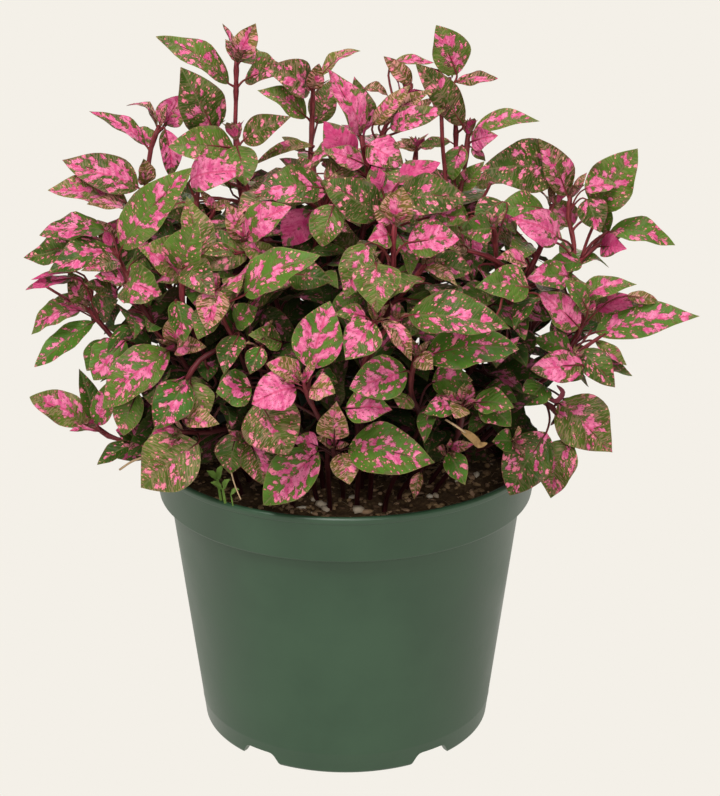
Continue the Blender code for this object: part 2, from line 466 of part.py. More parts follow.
def ring_between(near, far):
    """Triangles between two rings of three or four points, foot side first."""
    count = len(near)
    if count < len(far):
        return [(near[0], far[0], far[1]), (near[0], far[1], near[1]), (near[1], far[1], far[2]),
                (near[1], far[2], near[2]), (near[2], far[2], far[3]), (near[2], far[3], far[0]),
                (near[2], far[0], near[0])]
    faces = []
    for i in range(count):
        k = (i + 1) % count
        if count == 4 and i >= 2:
            faces += [(near[i], far[i], near[k]), (near[k], far[i], far[k])]
        else:
            faces += [(near[i], far[i], far[k]), (near[i], far[k], near[k])]
    return faces


def blade_mesh(blade, spare, stalk=True):
    """Closed low blade with its stalk; spare swells it for clearance tests."""
    length, along, across = blade_axes(blade)
    half_thick = BLADE_THICKNESS / 2 + spare
    girth = PETIOLE_RADIUS + spare
    points, rings = [], []
    run = (blade.base - blade.foot).normalized() if stalk else along
    ends = ((blade.foot, run, PETIOLE_ROOT + spare), (blade.base, run + along, girth))
    for spot, ahead, reach in ends if stalk else ends[1:]:
        turn = along.rotation_difference(ahead)
        wide = turn @ across
        deep = turn @ -blade.normal
        start = len(points)
        points += [spot - wide * reach - deep * reach * 0.6,
                   spot + wide * reach - deep * reach * 0.6, spot + deep * reach]
        rings.append((start, start + 1, start + 2))
    plain = is_plain(blade, length)
    for u in blade_stations(length, blade.kind):
        start = len(points)
        left = blade_point(blade, u, -1.0) - across * spare
        right = blade_point(blade, u, 1.0) + across * spare
        middle = blade_point(blade, u, 0.0)
        low = middle - blade.normal * half_thick
        if plain:
            sink = blade.normal * (BLADE_FOLD * 0.5 * (right - left).length * 0.5 - half_thick * 0.5)
            points += [left - sink, right - sink, low]
            rings.append((start, start + 1, start + 2))
            continue
        points += [left, middle + blade.normal * half_thick, right, low]
        rings.append((start, start + 1, start + 2, start + 3))
    points.append(blade.tip + along * spare)
    peak = len(points) - 1
    faces = [tuple(reversed(rings[0]))]
    for near, far in zip(rings, rings[1:]):
        faces += ring_between(near, far)
    last = rings[-1]
    for i in range(len(last)):
        faces.append((last[i], peak, last[(i + 1) % len(last)]))
    return points, faces


def leaf_meshes(blade):
    """Closed meshes of a leaf: its stalk is a piece of its own where it turns back sharply."""
    run = (blade.base - blade.foot).normalized()
    along = (blade.tip - blade.base).normalized()
    if run.dot(along) > SHARPEST_BEND:
        return [blade_mesh(blade, 0.0)]
    stalk = tube_mesh([blade.foot, blade.base + along], [PETIOLE_ROOT, PETIOLE_RADIUS * 1.1], 3)
    return [blade_mesh(blade, 0.0, stalk=False), stalk]


def outwardness(blade):
    """How far out in the mound the middle of a blade is."""
    reach = (blade.base + blade.tip) / 2 - MOUND_MIDDLE
    return sum((reach[i] / MOUND_REACH[i]) ** 2 for i in range(3))


class Plant:
    """Grows stems and leaves that keep clear of one another."""

    def __init__(self, shoots):
        self.shoots = shoots
        self.stems = list(dict.fromkeys(shoot.stem for shoot in shoots))
        self.stem_of = {shoot.name: shoot.stem for shoot in shoots}
        self.roots = stem_roots(self.stems, shoots)
        self.items = []
        self.lows = []
        self.highs = []
        self.paths = {}
        self.tubes = []
        self.blades = []

    def note(self, owner, kind, mesh, bare=None):
        """Remembers a piece's surface; bare is a leaf without its stalk."""
        tree = BVHTree.FromPolygons(*mesh)
        bare_tree = BVHTree.FromPolygons(*bare) if bare else tree
        self.items.append((owner, kind, tree, bare_tree))
        self.lows.append([min(p[i] for p in mesh[0]) for i in range(3)])
        self.highs.append([max(p[i] for p in mesh[0]) for i in range(3)])

    def near(self, mesh):
        """Pieces whose bounds meet those of a mesh."""
        low = [min(p[i] for p in mesh[0]) for i in range(3)]
        high = [max(p[i] for p in mesh[0]) for i in range(3)]
        for item, item_low, item_high in zip(self.items, self.lows, self.highs):
            if (item_low[0] <= high[0] and item_high[0] >= low[0]
                    and item_low[1] <= high[1] and item_high[1] >= low[1]
                    and item_low[2] <= high[2] and item_high[2] >= low[2]):
                yield item

    def clashes(self, owner, whole, bare=None, close=None):
        """Number of crossings with other stems' pieces, then with the stem's own leaves."""
        whole_tree = BVHTree.FromPolygons(*whole)
        bare_tree = BVHTree.FromPolygons(*bare) if bare else None
        close_tree = BVHTree.FromPolygons(*close) if close else None
        others, own = 0, 0
        for item_owner, kind, tree, item_bare in self.near(whole):
            if item_owner != owner:
                others += bool(whole_tree.overlap(tree))
            elif bare:
                own += bool(bare_tree.overlap(tree))
                if kind == "leaf":
                    own += bool(close_tree.overlap(item_bare))
        return others, own

    def grow_stems(self):
        """Lays every shoot's path, drifting a stem's fork until it is clear of the others."""
        rng = random.Random(STEM_SEED)
        for stem in self.stems:
            own = [shoot for shoot in self.shoots if shoot.stem == stem]
            best = None
            for attempt in range(TRIES):
                spread = 18.0 * attempt / TRIES
                drift = Vector([rng.uniform(-1, 1) * spread for _ in range(3)])
                tubes = stem_tubes(own, self.roots[stem], drift)
                score = sum(self.clashes(stem, tube_mesh(path, [r + 0.5 for r in radii], 4))[0]
                            for path, radii in tubes.values())
                if best is None or score < best[0]:
                    best = (score, tubes)
                if score == 0:
                    break
            for name, (path, radii) in best[1].items():
                self.paths[name] = path
                self.tubes.append((stem, name, path, radii))
                self.note(stem, "stem", tube_mesh(path, radii, 4))

    def foot_on(self, shoot, base):
        """Spot on the shoot that a stalk to the base grows from."""
        path = list(self.paths[shoot])
        path[-1] = path[-1] + (path[-2] - path[-1]).normalized() * FOOT_SINK
        best = None
        for start, end in zip(path[1:], path[2:]):
            for k in range(5):
                spot = start.lerp(end, k / 4)
                cost = (spot - base).length + 0.7 * max(0.0, spot.z - base.z + 2.0)
                if best is None or cost < best[0]:
                    best = (cost, spot)
        return best[1]

    def try_blade(self, blade):
        whole = blade_mesh(blade, CLEARANCE)
        bare = blade_mesh(blade, OWN_CLEARANCE, stalk=False)
        close = blade_mesh(blade, OWN_CLEARANCE)
        return self.clashes(self.stem_of[blade.shoot], whole, bare, close)

    def keep(self, blade):
        self.blades.append(blade)
        self.note(self.stem_of[blade.shoot], "leaf", blade_mesh(blade, 0.0),
                  blade_mesh(blade, 0.0, stalk=False))

    def settle(self, candidates, must_stay):
        """Keeps the first candidate blade that is clear of everything."""
        best = None
        for blade in candidates:
            others, own = self.try_blade(blade)
            if others == 0 and (best is None or own < best[0]):
                best = (own, blade)
            if others == 0 and own == 0:
                break
        if best and (must_stay or best[0] == 0):
            self.keep(best[1])

    def lay_leaves(self):
        """Lays the leaves of the list, largest first."""
        rng = random.Random(LEAF_SEED)
        order = sorted(LEAVES, key=lambda row: -row.width * math.hypot(
            row.tip_x - row.base_x, row.tip_z - row.base_z))
        for row in order:
            self.settle(self.laid_candidates(row, rng), must_stay=True)

    def laid_candidates(self, row, rng):
        """Blades of one listed leaf, straying further in depth, tilt and size at each try."""
        for attempt in range(TRIES):
            reach = attempt / TRIES
            depth = row.depth + rng.uniform(-1, 1) * 12 * reach
            deeper = row.deeper + rng.uniform(-1, 1) * 18 * reach
            tilt = row.tilt + rng.uniform(-1, 1) * 35 * reach
            size = 1.0 - 0.35 * reach * rng.random()
            base = seen(row.base_x, row.base_z, depth)
            tip = seen(row.tip_x, row.tip_z, depth + deeper)
            tip = base + (tip - base) * (1.0 - (1.0 - size) * 0.5)
            foot = self.foot_on(row.shoot, base)
            if (base - foot).length < 2.5:
                base = foot + (tip - foot).normalized() * 2.5
            yield Blade(row.shoot, foot, base, tip, face_normal(base, tip, tilt),
                        row.width * size, row.arch, row.pink, row.kind)

    def fill_leaves(self):
        """Pairs of leaves down every shoot, each pair turned a quarter from the last."""
        rng = random.Random(LEAF_SEED + 1)
        for stem, name, path, radii in self.tubes:
            back = name.startswith("back")
            lengths = BACK_LEAF_LENGTH if back else FILL_LEAF_LENGTH
            spacing = BACK_NODE_SPACING if back else NODE_SPACING
            travelled = 0.0 if back else -10.0
            turn = rng.uniform(0, math.pi)
            sunk = path[:-1] + [path[-1] + (path[-2] - path[-1]).normalized() * FOOT_SINK]
            for spot, ahead, reach in spots_down(sunk, 2.0):
                travelled += reach
                if travelled < spacing and not (back and spot is sunk[-1]):
                    continue
                if spot.z < SOIL_TOP + 16:
                    break
                travelled = 0.0
                turn += math.pi / 2
                for side in (0.0, math.pi):
                    row = (name, spot, ahead, turn + side, back)
                    self.settle(self.rule_candidates(row, lengths, rng), must_stay=False)

    def keep_outer_fill(self):
        """Leaves set by rule stay only where they show on the outside of the mound."""
        fill = sorted((blade for blade in self.blades if blade.kind == "fill"), key=outwardness)
        inner = fill[:-OUTER_FILL_LEAVES]
        self.blades = [blade for blade in self.blades if blade not in inner]

    def rule_candidates(self, row, lengths, rng):
        """Blades that reach out of a shoot, straying further round it at each try."""
        name, foot, ahead, turn, back = row
        helper = ahead.orthogonal().normalized()
        for attempt in range(TRIES // 2):
            reach = 2.0 * attempt / TRIES
            bearing = turn + rng.uniform(-1, 1) * 1.1 * reach
            side = Matrix.Rotation(bearing, 3, ahead) @ helper
            outward = Vector((foot.x, foot.y, 0.0))
            outward = outward.normalized() if outward.length > 1 else Vector((0, 1, 0))
            rise = rng.uniform(-0.25, 0.35)
            along = (side + outward * 0.45 + ahead * 0.35 + Vector((0, 0, rise))).normalized()
            length = rng.uniform(*lengths) * (1.0 - 0.3 * reach)
            base = foot + along * PETIOLE_LENGTH * rng.uniform(0.7, 1.2)
            along = (along + Vector((0, 0, -0.28)) + outward * 0.15).normalized()
            tip = base + along * length
            if not behind_front(tip, 14) or not behind_front(base, 14):
                continue
            face = Vector((0, 0, 1)) + outward * 0.35 + side * rng.uniform(-0.3, 0.3)
            normal = (face - along * face.dot(along)).normalized()
            width = length * rng.uniform(0.46, 0.56)
            blade = Blade(name, foot, base, tip, normal, width, 0.13,
                          rng.choice((0.05, 0.2, 0.35, 0.5, 0.7)), "fill")
            if not in_sight_gap(blade):
                yield blade


def face_normal(base, tip, tilt):
    """Normal of a blade that faces the eye point, tilted to the sky by some degrees."""
    along = (tip - base).normalized()
    to_eye = EYE - base
    face = (to_eye - along * to_eye.dot(along)).normalized()
    side = along.cross(face)
    if (side.z if abs(side.z) > 0.05 else side.x) < 0:
        side = -side
    angle = math.radians(tilt)
    return face * math.cos(angle) + side * math.sin(angle)


def back_shoots():
    """Shoots of the sides and the back, in rows round the pot."""
    rng = random.Random(STEM_SEED + 7)
    shoots = []
    for row, count, first, last, distance, height in BACK_ROWS:
        for k in range(count):
            share = k / (count - 1)
            bearing = math.radians(first + (last - first) * share + rng.uniform(-4, 4))
            reach = distance * rng.uniform(0.93, 1.05)
            tip = Vector((math.cos(bearing) * reach, math.sin(bearing) * reach,
                          height + rng.uniform(-6, 6)))
            lower = Vector((tip.x * 0.8, tip.y * 0.8, 104 + (tip.z - 104) * 0.66))
            stem = "back" + str(1 + min(BACK_STEMS - 1, int(share * BACK_STEMS)))
            shoots.append(Shoot(stem, "back_" + row + str(k + 1), (tip, lower)))
    return shoots


def front_shoots():
    """Shoots laid from the eye point, as points in space."""
    return [Shoot(shoot.stem, shoot.name, tuple(seen(*stop) for stop in shoot.stops))
            for shoot in SHOOTS]


def stem_roots(stems, shoots):
    """Where each leafy stem leaves the soil, pushed apart from its neighbours."""
    roots = {}
    for stem in stems:
        lows = [shoot.stops[-1] for shoot in shoots if shoot.stem == stem]
        middle = sum(lows, Vector()) / len(lows)
        spot = Vector((middle.x, middle.y, 0.0)) * 0.5
        if spot.length > 54:
            spot *= 54 / spot.length
        roots[stem] = spot
    for _ in range(60):
        for one in stems:
            for two in stems:
                gap = roots[one] - roots[two]
                if one < two and gap.length < 10.5:
                    push = gap.normalized() * (10.5 - gap.length) * 0.5
                    roots[one] = roots[one] + push
                    roots[two] = roots[two] - push
        for stem in stems:
            if roots[stem].length > 60:
                roots[stem] = roots[stem] * (60 / roots[stem].length)
    return roots


def stem_tubes(own, root, drift):
    """Paths and radii of a leafy stem's shoots; the first one runs from the soil."""
    lows = [shoot.stops[-1] for shoot in own]
    middle = sum(lows, Vector()) / len(lows)
    bottom = Vector((root.x, root.y, SOIL_TOP - HOLE_DEPTH + 0.6))
    collar = Vector((root.x, root.y, SOIL_TOP + 1.5))
    fork = collar.lerp(middle, 0.42) + Vector((0, 0, 2.0)) + drift * 0.5
    fork.z = max(fork.z, SOIL_TOP + 5.0)
    tubes = {}
    for i, shoot in enumerate(own):
        upper = list(reversed(shoot.stops))
        stops = [bottom, collar, fork] if i == 0 else [fork]
        if len(own) > 1 and i:
            stops.append(fork.lerp(upper[0], 0.5) + drift * 0.25)
        path = smooth_path(stops + upper, STEM_STEP)
        thick = STEM_FOOT_RADIUS if i == 0 else STEM_FOOT_RADIUS * 0.8
        radii = [thick + (STEM_TIP_RADIUS - thick) * k / (len(path) - 1) for k in range(len(path))]
        tubes[shoot.name] = (path, radii)
    return tubes


def make_material(name, colour, roughness, coat=0.0):
    material = bpy.data.materials.new(name)
    material.use_nodes = True
    shader = material.node_tree.nodes["Principled BSDF"]
    shader.inputs["Base Color"].default_value = (*colour, 1.0)
    shader.inputs["Roughness"].default_value = roughness
    shader.inputs["Coat Weight"].default_value = coat
    material.diffuse_color = (*colour, 1.0)
    return material


def make_object(name, points, faces, material, home):
    """Object from points in mm, with its faces turned outward."""
    mesh = bpy.data.meshes.new(name)
    mesh.from_pydata([tuple(p * MM) for p in points], [], faces)
    work = bmesh.new()
    work.from_mesh(mesh)
    bmesh.ops.recalc_face_normals(work, faces=work.faces)
    if work.calc_volume(signed=True) < 0:
        bmesh.ops.reverse_faces(work, faces=work.faces)
    work.to_mesh(mesh)
    work.free()
    thing = bpy.data.objects.new(name, mesh)
    thing.data.materials.append(material)
    home.objects.link(thing)
    return thing


def apply_modifiers(thing):
    """Turns an object's modifiers into its mesh."""
    graph = bpy.context.evaluated_depsgraph_get()
    mesh = bpy.data.meshes.new_from_object(thing.evaluated_get(graph))
    thing.modifiers.clear()
    old = thing.data
    thing.data = mesh
    mesh.name = old.name
    bpy.data.meshes.remove(old)


def merge_all(base, others, operation, solver):
    """One Boolean of the base with a collection of others, which is then removed."""
    group = bpy.data.collections.new(base.name + "_parts")
    bpy.context.scene.collection.children.link(group)
    for other in others:
        for home in list(other.users_collection):
            home.objects.unlink(other)
        group.objects.link(other)
    cut = base.modifiers.new("merge", "BOOLEAN")
    cut.operation = operation
    cut.operand_type = "COLLECTION"
    cut.collection = group
    cut.solver = solver
    apply_modifiers(base)
    for other in others:
        bpy.data.objects.remove(other)
    bpy.data.collections.remove(group)


def body_radius(height):
    return BODY_FOOT_RADIUS + BODY_SLOPE * height


def pot_profile():
    """Radius and height from the middle of the inside floor, over the lip, to the underside."""
    return (
        (0.0, FLOOR_TOP), (inner_radius(FLOOR_TOP), FLOOR_TOP),
        (inner_radius(BAND_BOTTOM - 1), BAND_BOTTOM - 1),
        (LIP_INNER_RADIUS, POT_HEIGHT - 0.6), (LIP_INNER_RADIUS + 0.4, POT_HEIGHT),
        (RIM_RADIUS - 0.7, POT_HEIGHT), (RIM_RADIUS, POT_HEIGHT - 0.8),
        (RIM_RADIUS - 0.5, POT_HEIGHT - 2.6), (BAND_RADIUS, BAND_BOTTOM + 0.8),
        (BAND_RADIUS - 0.5, BAND_BOTTOM), (body_radius(BAND_BOTTOM), BAND_BOTTOM),
        (BODY_FOOT_RADIUS + 0.2, 0.6), (BODY_FOOT_RADIUS - 0.4, 0.0),
        (BODY_FOOT_RADIUS - 3.0, 0.0), (BODY_FOOT_RADIUS - 3.4, FLOOR_UNDERSIDE),
        (0.0, FLOOR_UNDERSIDE),
    )


def inner_radius(height):
    """Radius of the inside wall, which leans out more above the body."""
    if height <= BAND_BOTTOM - 1:
        return body_radius(height) - POT_WALL
    start = body_radius(BAND_BOTTOM - 1) - POT_WALL
    share = (height - BAND_BOTTOM + 1) / (POT_HEIGHT - 0.6 - BAND_BOTTOM + 1)
    return start + (LIP_INNER_RADIUS - start) * share


def turned(name, profile, sides, material, home):
    """Solid turned round the upright axis from a profile."""
    mesh = bpy.data.meshes.new(name)
    points = [(radius * MM, 0.0, height * MM) for radius, height in profile]
    mesh.from_pydata(points, [(i, i + 1) for i in range(len(points) - 1)], [])
    thing = bpy.data.objects.new(name, mesh)
    home.objects.link(thing)
    screw = thing.modifiers.new("turn", "SCREW")
    screw.steps = sides
    screw.render_steps = sides
    screw.use_merge_vertices = True
    screw.merge_threshold = 0.00001
    screw.use_smooth_shade = False
    apply_modifiers(thing)
    work = bmesh.new()
    work.from_mesh(thing.data)
    bmesh.ops.recalc_face_normals(work, faces=work.faces)
    if work.calc_volume(signed=True) < 0:
        bmesh.ops.reverse_faces(work, faces=work.faces)
    work.to_mesh(thing.data)
    work.free()
    thing.data.materials.clear()
    thing.data.materials.append(material)
    return thing


def make_pot(home):
    """Nursery pot with drain slots in its foot ring."""
    green = make_material("pot", (0.055, 0.085, 0.06), 0.38)
    pot = turned("pot", pot_profile(), POT_SIDES, green, home)
    cutters = []
    for k in range(DRAIN_SLOTS):
        bearing = math.radians(-90 + 36 + 72 * k)
        across = Vector((-math.sin(bearing), math.cos(bearing), 0))
        outward = Vector((math.cos(bearing), math.sin(bearing), 0))
        points = []
        for reach in (BODY_FOOT_RADIUS - SLOT_DEPTH, BODY_FOOT_RADIUS + SLOT_DEPTH):
            for width, height in ((SLOT_WIDTH_LOW, -1.0), (SLOT_WIDTH_HIGH, SLOT_HEIGHT)):
                for side in (-0.5, 0.5):
                    points.append(outward * reach + across * width * side + Vector((0, 0, height)))
        cutters.append(make_object("slot", points, BOX_FACES, green, home))
    merge_all(pot, cutters, "DIFFERENCE", "EXACT")
    return pot


def soil_height(x, y):
    """Uneven top of the soil."""
    wave = math.sin(x * 0.21 + 1.3) * math.cos(y * 0.17 - 0.6) + 0.6 * math.sin(x * 0.43 + y * 0.37)
    return SOIL_TOP + SOIL_ROUGHNESS * 0.6 * wave


def soil_mesh():
    """Plug of soil that fills the pot, with an uneven top."""
    points, faces = [Vector((0, 0, soil_height(0, 0)))], []
    low, middle = FLOOR_TOP + SOIL_CLEARANCE, BAND_BOTTOM - 1
    spare = SOIL_CLEARANCE + 0.35
    rings = [(radius, None) for radius in SOIL_RINGS]
    rings.append((inner_radius(SOIL_TOP - 1.5) - spare, None))
    rings += [(inner_radius(height) - spare, height) for height in (middle, low)]
    for radius, height in rings:
        for k in range(SOIL_SIDES):
            turn = 2 * math.pi * k / SOIL_SIDES
            x, y = radius * math.cos(turn), radius * math.sin(turn)
            points.append(Vector((x, y, soil_height(x, y) if height is None else height)))
    points.append(Vector((0, 0, low)))
    for k in range(SOIL_SIDES):
        faces.append((0, 1 + k, 1 + (k + 1) % SOIL_SIDES))
    for ring in range(len(rings) - 1):
        start = 1 + ring * SOIL_SIDES
        for k in range(SOIL_SIDES):
            a, b = start + k, start + (k + 1) % SOIL_SIDES
            faces.append((a, a + SOIL_SIDES, b + SOIL_SIDES, b))
    last = 1 + (len(rings) - 1) * SOIL_SIDES
    for k in range(SOIL_SIDES):
        faces.append((last + (k + 1) % SOIL_SIDES, last + k, len(points) - 1))
    return points, faces


def make_soil(home, roots):
    """Soil with a plain hole for each leafy stem."""
    brown = make_material("soil", (0.035, 0.022, 0.015), 0.95)
    soil = make_object("soil", *soil_mesh(), brown, home)
    cutters = []
    for root in roots.values():
        low = Vector((root.x, root.y, SOIL_TOP - HOLE_DEPTH))
        high = Vector((root.x, root.y, SOIL_TOP + 8))
        points, faces = tube_mesh([low, high], [HOLE_RADIUS] * 2, 5)
        cutters.append(make_object("hole", points, faces, brown, home))
    merge_all(soil, cutters, "DIFFERENCE", "EXACT")
    return soil


def make_stem(stem, plant, home):
    """One leafy stem: its tubes and blades joined into one body."""
    colour = (0.10, 0.12, 0.06) if stem.startswith("back") else (0.24, 0.10, 0.11)
    material = make_material("leafy_stem_" + stem, colour, 0.5)
    pieces = []
    for owner, name, path, radii in plant.tubes:
        if owner == stem:
            sides = 4 if not pieces else 3
            pieces.append(make_object(stem, *tube_mesh(path, radii, sides), material, home))
    for blade in plant.blades:
        if plant.stem_of[blade.shoot] == stem:
            pieces += [make_object("blade", *mesh, material, home) for mesh in leaf_meshes(blade)]
    if len(pieces) > 1:
        merge_all(pieces[0], pieces[1:], "UNION", "MANIFOLD")
    pieces[0].name = "leafy_stem_" + stem
    pieces[0].data.name = pieces[0].name
    return pieces[0]


def mesh_in_mm(thing):
    """Points in mm and faces of an object."""
    points = [vertex.co / MM for vertex in thing.data.vertices]
    return points, [tuple(face.vertices) for face in thing.data.polygons]


def clear_scene():
    for thing in list(bpy.data.objects):
        bpy.data.objects.remove(thing, do_unlink=True)


def main():
    clear_scene()
    home = bpy.data.collections.new("potted_polka_dot_plant")
    bpy.context.scene.collection.children.link(home)
    pot = make_pot(home)
    plant = Plant(front_shoots() + back_shoots())
    plant.note("pot", "pot", mesh_in_mm(pot))
    plant.grow_stems()
    soil = make_soil(home, plant.roots)
    plant.note("soil", "soil", mesh_in_mm(soil))
    plant.lay_leaves()
    plant.fill_leaves()
    plant.keep_outer_fill()
    for stem in plant.stems:
        make_stem(stem, plant, home)


main()
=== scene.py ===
"""The potted polka-dot plant dressed for a picture: fine leaves, stems, pot and soil."""

import math
import random
from collections import namedtuple
from statistics import NormalDist

import bmesh
import bpy
from mathutils import Matrix, Vector, noise
from mathutils.bvhtree import BVHTree


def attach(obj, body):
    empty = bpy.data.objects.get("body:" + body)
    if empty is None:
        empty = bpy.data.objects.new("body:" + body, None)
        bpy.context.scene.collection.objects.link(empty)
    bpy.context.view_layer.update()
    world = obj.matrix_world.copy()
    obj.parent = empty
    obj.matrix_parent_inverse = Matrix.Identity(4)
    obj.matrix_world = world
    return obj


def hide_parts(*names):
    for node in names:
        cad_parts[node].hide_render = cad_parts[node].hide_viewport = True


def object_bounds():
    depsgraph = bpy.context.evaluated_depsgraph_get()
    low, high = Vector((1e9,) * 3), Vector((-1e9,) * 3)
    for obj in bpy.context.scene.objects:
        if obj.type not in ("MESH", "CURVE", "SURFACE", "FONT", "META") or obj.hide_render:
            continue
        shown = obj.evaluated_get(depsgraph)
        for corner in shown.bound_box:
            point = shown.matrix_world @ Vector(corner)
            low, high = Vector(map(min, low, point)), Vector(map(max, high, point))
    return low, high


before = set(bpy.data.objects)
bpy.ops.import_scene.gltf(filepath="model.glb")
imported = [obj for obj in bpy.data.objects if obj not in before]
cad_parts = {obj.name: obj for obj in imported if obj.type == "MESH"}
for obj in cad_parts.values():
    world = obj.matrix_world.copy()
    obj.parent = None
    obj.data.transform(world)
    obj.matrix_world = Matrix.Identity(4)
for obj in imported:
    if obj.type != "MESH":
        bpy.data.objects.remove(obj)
CAD_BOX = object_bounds()

MM = 0.001

# Camera of the photo
CAMERA_LENS = 110.8
CAMERA_SENSOR = 36.0
CAMERA_DROP = 21.13

# Pot, in mm
POT_HEIGHT = 118.0
BODY_FOOT_RADIUS = 57.5
BODY_SLOPE = 0.127
BAND_BOTTOM = 98.5
BAND_RADIUS = 74.0
RIM_RADIUS = 77.6
LIP_INNER_RADIUS = 75.4
POT_WALL = 1.3
FLOOR_UNDERSIDE = 5.5
FLOOR_TOP = 7.2
POT_SIDES = 40
DRAIN_SLOTS = 5
SLOT_HEIGHT = 5.0
SLOT_WIDTH_LOW = 20.0
SLOT_WIDTH_HIGH = 12.5
SLOT_DEPTH = 12.0

# Soil, in mm
SOIL_TOP = 105.0
SOIL_CLEARANCE = 0.3
SOIL_ROUGHNESS = 1.2
SOIL_RINGS = (26.0, 50.0)
SOIL_SIDES = 24
HOLE_RADIUS = 3.0
HOLE_DEPTH = 14.0

# Stems and leaves, in mm
STEM_FOOT_RADIUS = 2.1
STEM_TIP_RADIUS = 1.25
STEM_STEP = 40.0
PETIOLE_RADIUS = 0.75
PETIOLE_ROOT = 0.45
FOOT_SINK = 2.0
SHARPEST_BEND = 0.25
BLADE_THICKNESS = 1.2
BLADE_FOLD = 0.24
CLEARANCE = 0.55
OWN_CLEARANCE = 0.15
LARGE_LEAF = 26.0
SMALL_LEAF = 14.5

# Eye point from which the front of the plant is laid out
EYE = Vector((5.7, -900.0, 483.4))

# Mound as seen from the eye point: height on the middle plane, then half width and front depth
MOUND = (
    (90, 60, -70), (100, 70, -76), (115, 82, -84), (130, 92, -92), (150, 100, -97),
    (170, 102, -92), (190, 96, -80), (205, 82, -66), (220, 62, -50), (235, 34, -33),
    (250, 0, -18), (265, 0, -6), (285, 0, 5),
)

Shoot = namedtuple("Shoot", "stem name stops")
Leaf = namedtuple("Leaf", "shoot base_x base_z tip_x tip_z depth deeper width tilt arch pink kind")
Blade = namedtuple("Blade", "shoot foot base tip normal width arch pink kind")

# Shoots of each leafy stem, from the growing tip down: across, up and depth of each stop
SHOOTS = [Shoot(*row) for row in (
    ("tall_left", "tall", ((-40.5, 271, -8), (-41, 255, -8), (-41.5, 240, -12), (-40, 220, -20))),
    ("tall_left", "collar", ((-41, 241, -24), (-38, 224, -28), (-33, 205, -34))),
    ("top_middle", "twin", ((-12, 259, -12), (-12.5, 245, -14), (-13, 232, -18), (-9, 214, -24))),
    ("top_middle", "magenta", ((6, 242, -24), (8.5, 230, -25), (9.5, 216, -28), (6, 200, -32))),
    ("top_right_middle", "bronze", ((22, 258, -8), (18, 250, -12), (14, 242, -16), (16, 225, -20))),
    ("top_back", "olive", ((27, 236.5, 14), (26, 226, 12), (22, 205, 6))),
    ("top_right", "crown", ((39, 264.5, -2), (41.5, 250, -4), (42, 235, -6), (41, 215, -10))),
    ("top_right", "post", ((36.4, 250, -16), (37, 238, -16), (38.6, 220, -18), (38, 205, -20))),
    ("top_right", "elbow", ((46.5, 243, -4), (46, 234, -6), (44, 220, -12))),
    ("right_upper", "bud", ((86, 218.5, -16), (85.6, 210, -17), (88, 195, -22), (80, 178, -28))),
    ("right_upper", "flank", ((98, 199.5, -12), (92, 194, -17), (84, 184, -24))),
    ("right_upper", "inner", ((79, 215, -14), (76, 200, -22), (70, 185, -28))),
    ("upper_left", "crest", ((-70, 246, -6), (-73.5, 237, -8), (-75.5, 224, -12), (-79, 210, -20),
                             (-76, 195, -26))),
    ("upper_left", "shield", ((-52, 243, -20), (-54, 230, -24), (-57, 212, -32), (-54, 196, -36))),
    ("far_left", "fan", ((-90, 198, -24), (-86, 190, -28), (-83, 182, -34), (-76, 168, -38))),
    ("far_left_low", "fork", ((-100, 173, -14), (-94, 165, -18), (-87, 157, -24), (-76, 150, -30))),
    ("low_left", "creeper", ((-99, 124, -18), (-94, 119.5, -18), (-84, 117, -22), (-70, 119, -32))),
    ("low_left", "saddle", ((-67, 156.5, -50), (-62, 148, -48), (-55, 138, -44))),
    ("left_front", "leaning", ((-63, 187, -62), (-63, 174, -60), (-58, 160, -52))),
    ("left_fork", "riser", ((-50, 180, -72), (-48, 170, -70), (-43.5, 161, -66), (-35, 155, -60))),
    ("left_fork", "side", ((-62.5, 143.5, -74), (-57, 151.5, -70), (-50, 156, -68),
                           (-44.5, 160.5, -66))),
    ("left_low", "apron", ((-65, 121, -74), (-56, 121, -66), (-44, 122, -56))),
    ("left_low", "under", ((-41, 118, -64), (-38, 113, -56))),
    ("front_left", "rosette", ((-16.5, 142, -92), (-15, 137, -90), (-11.5, 129, -84), (-8, 122, -76))),
    ("front_left_back", "oval", ((-33, 158, -74), (-30, 148, -70), (-24, 136, -62))),
    ("front_low", "star", ((-5, 115, -74), (-4, 109, -66))),
    ("front_middle", "knot", ((28, 153, -84), (26, 146, -82), (26, 137, -78), (30, 126, -68))),
    ("front_top", "bend", ((12, 168, -92), (10, 160, -90), (7, 149, -84), (4, 138, -74))),
    ("front_top", "long", ((18, 168, -88), (13, 160, -86), (9, 150, -82))),
    ("middle", "bract", ((19, 207, -70), (18.5, 199, -70), (18.5, 190, -68), (16, 176, -60))),
    ("middle", "thick", ((31, 191, -64), (24, 181, -62), (16, 170, -58))),
    ("middle_back", "speckle", ((17, 211, -50), (16, 200, -48), (12, 184, -42))),
    ("middle_left", "wide", ((-6, 220, -44), (-10, 206, -42), (-13, 188, -38))),
    ("middle_left", "low_arch", ((-38, 201, -54), (-34, 190, -50), (-27, 176, -44))),
    ("right_inner", "twin_rods", ((47, 196.5, -56), (56, 193.5, -52), (64, 186, -46), (62, 168, -40))),
    ("right_inner", "nook", ((57, 206, -46), (58, 196, -44), (58, 182, -40))),
    ("right_side", "stripe", ((92.5, 170, -28), (91, 163, -32), (86, 154, -34), (76, 144, -28))),
    ("right_low", "cuff", ((88, 152, -42), (83, 147, -42), (72, 138, -38))),
    ("right_low", "drape", ((84, 129, -36), (78, 134, -40), (68, 132, -44))),
    ("front_right", "pair", ((45.5, 133.5, -80), (46, 127, -74), (43, 117, -64))),
    ("front_right", "stub", ((41, 113.5, -66), (39, 112, -60))),
    ("right_low", "button", ((66, 117, -58), (62, 118, -54))),
)]

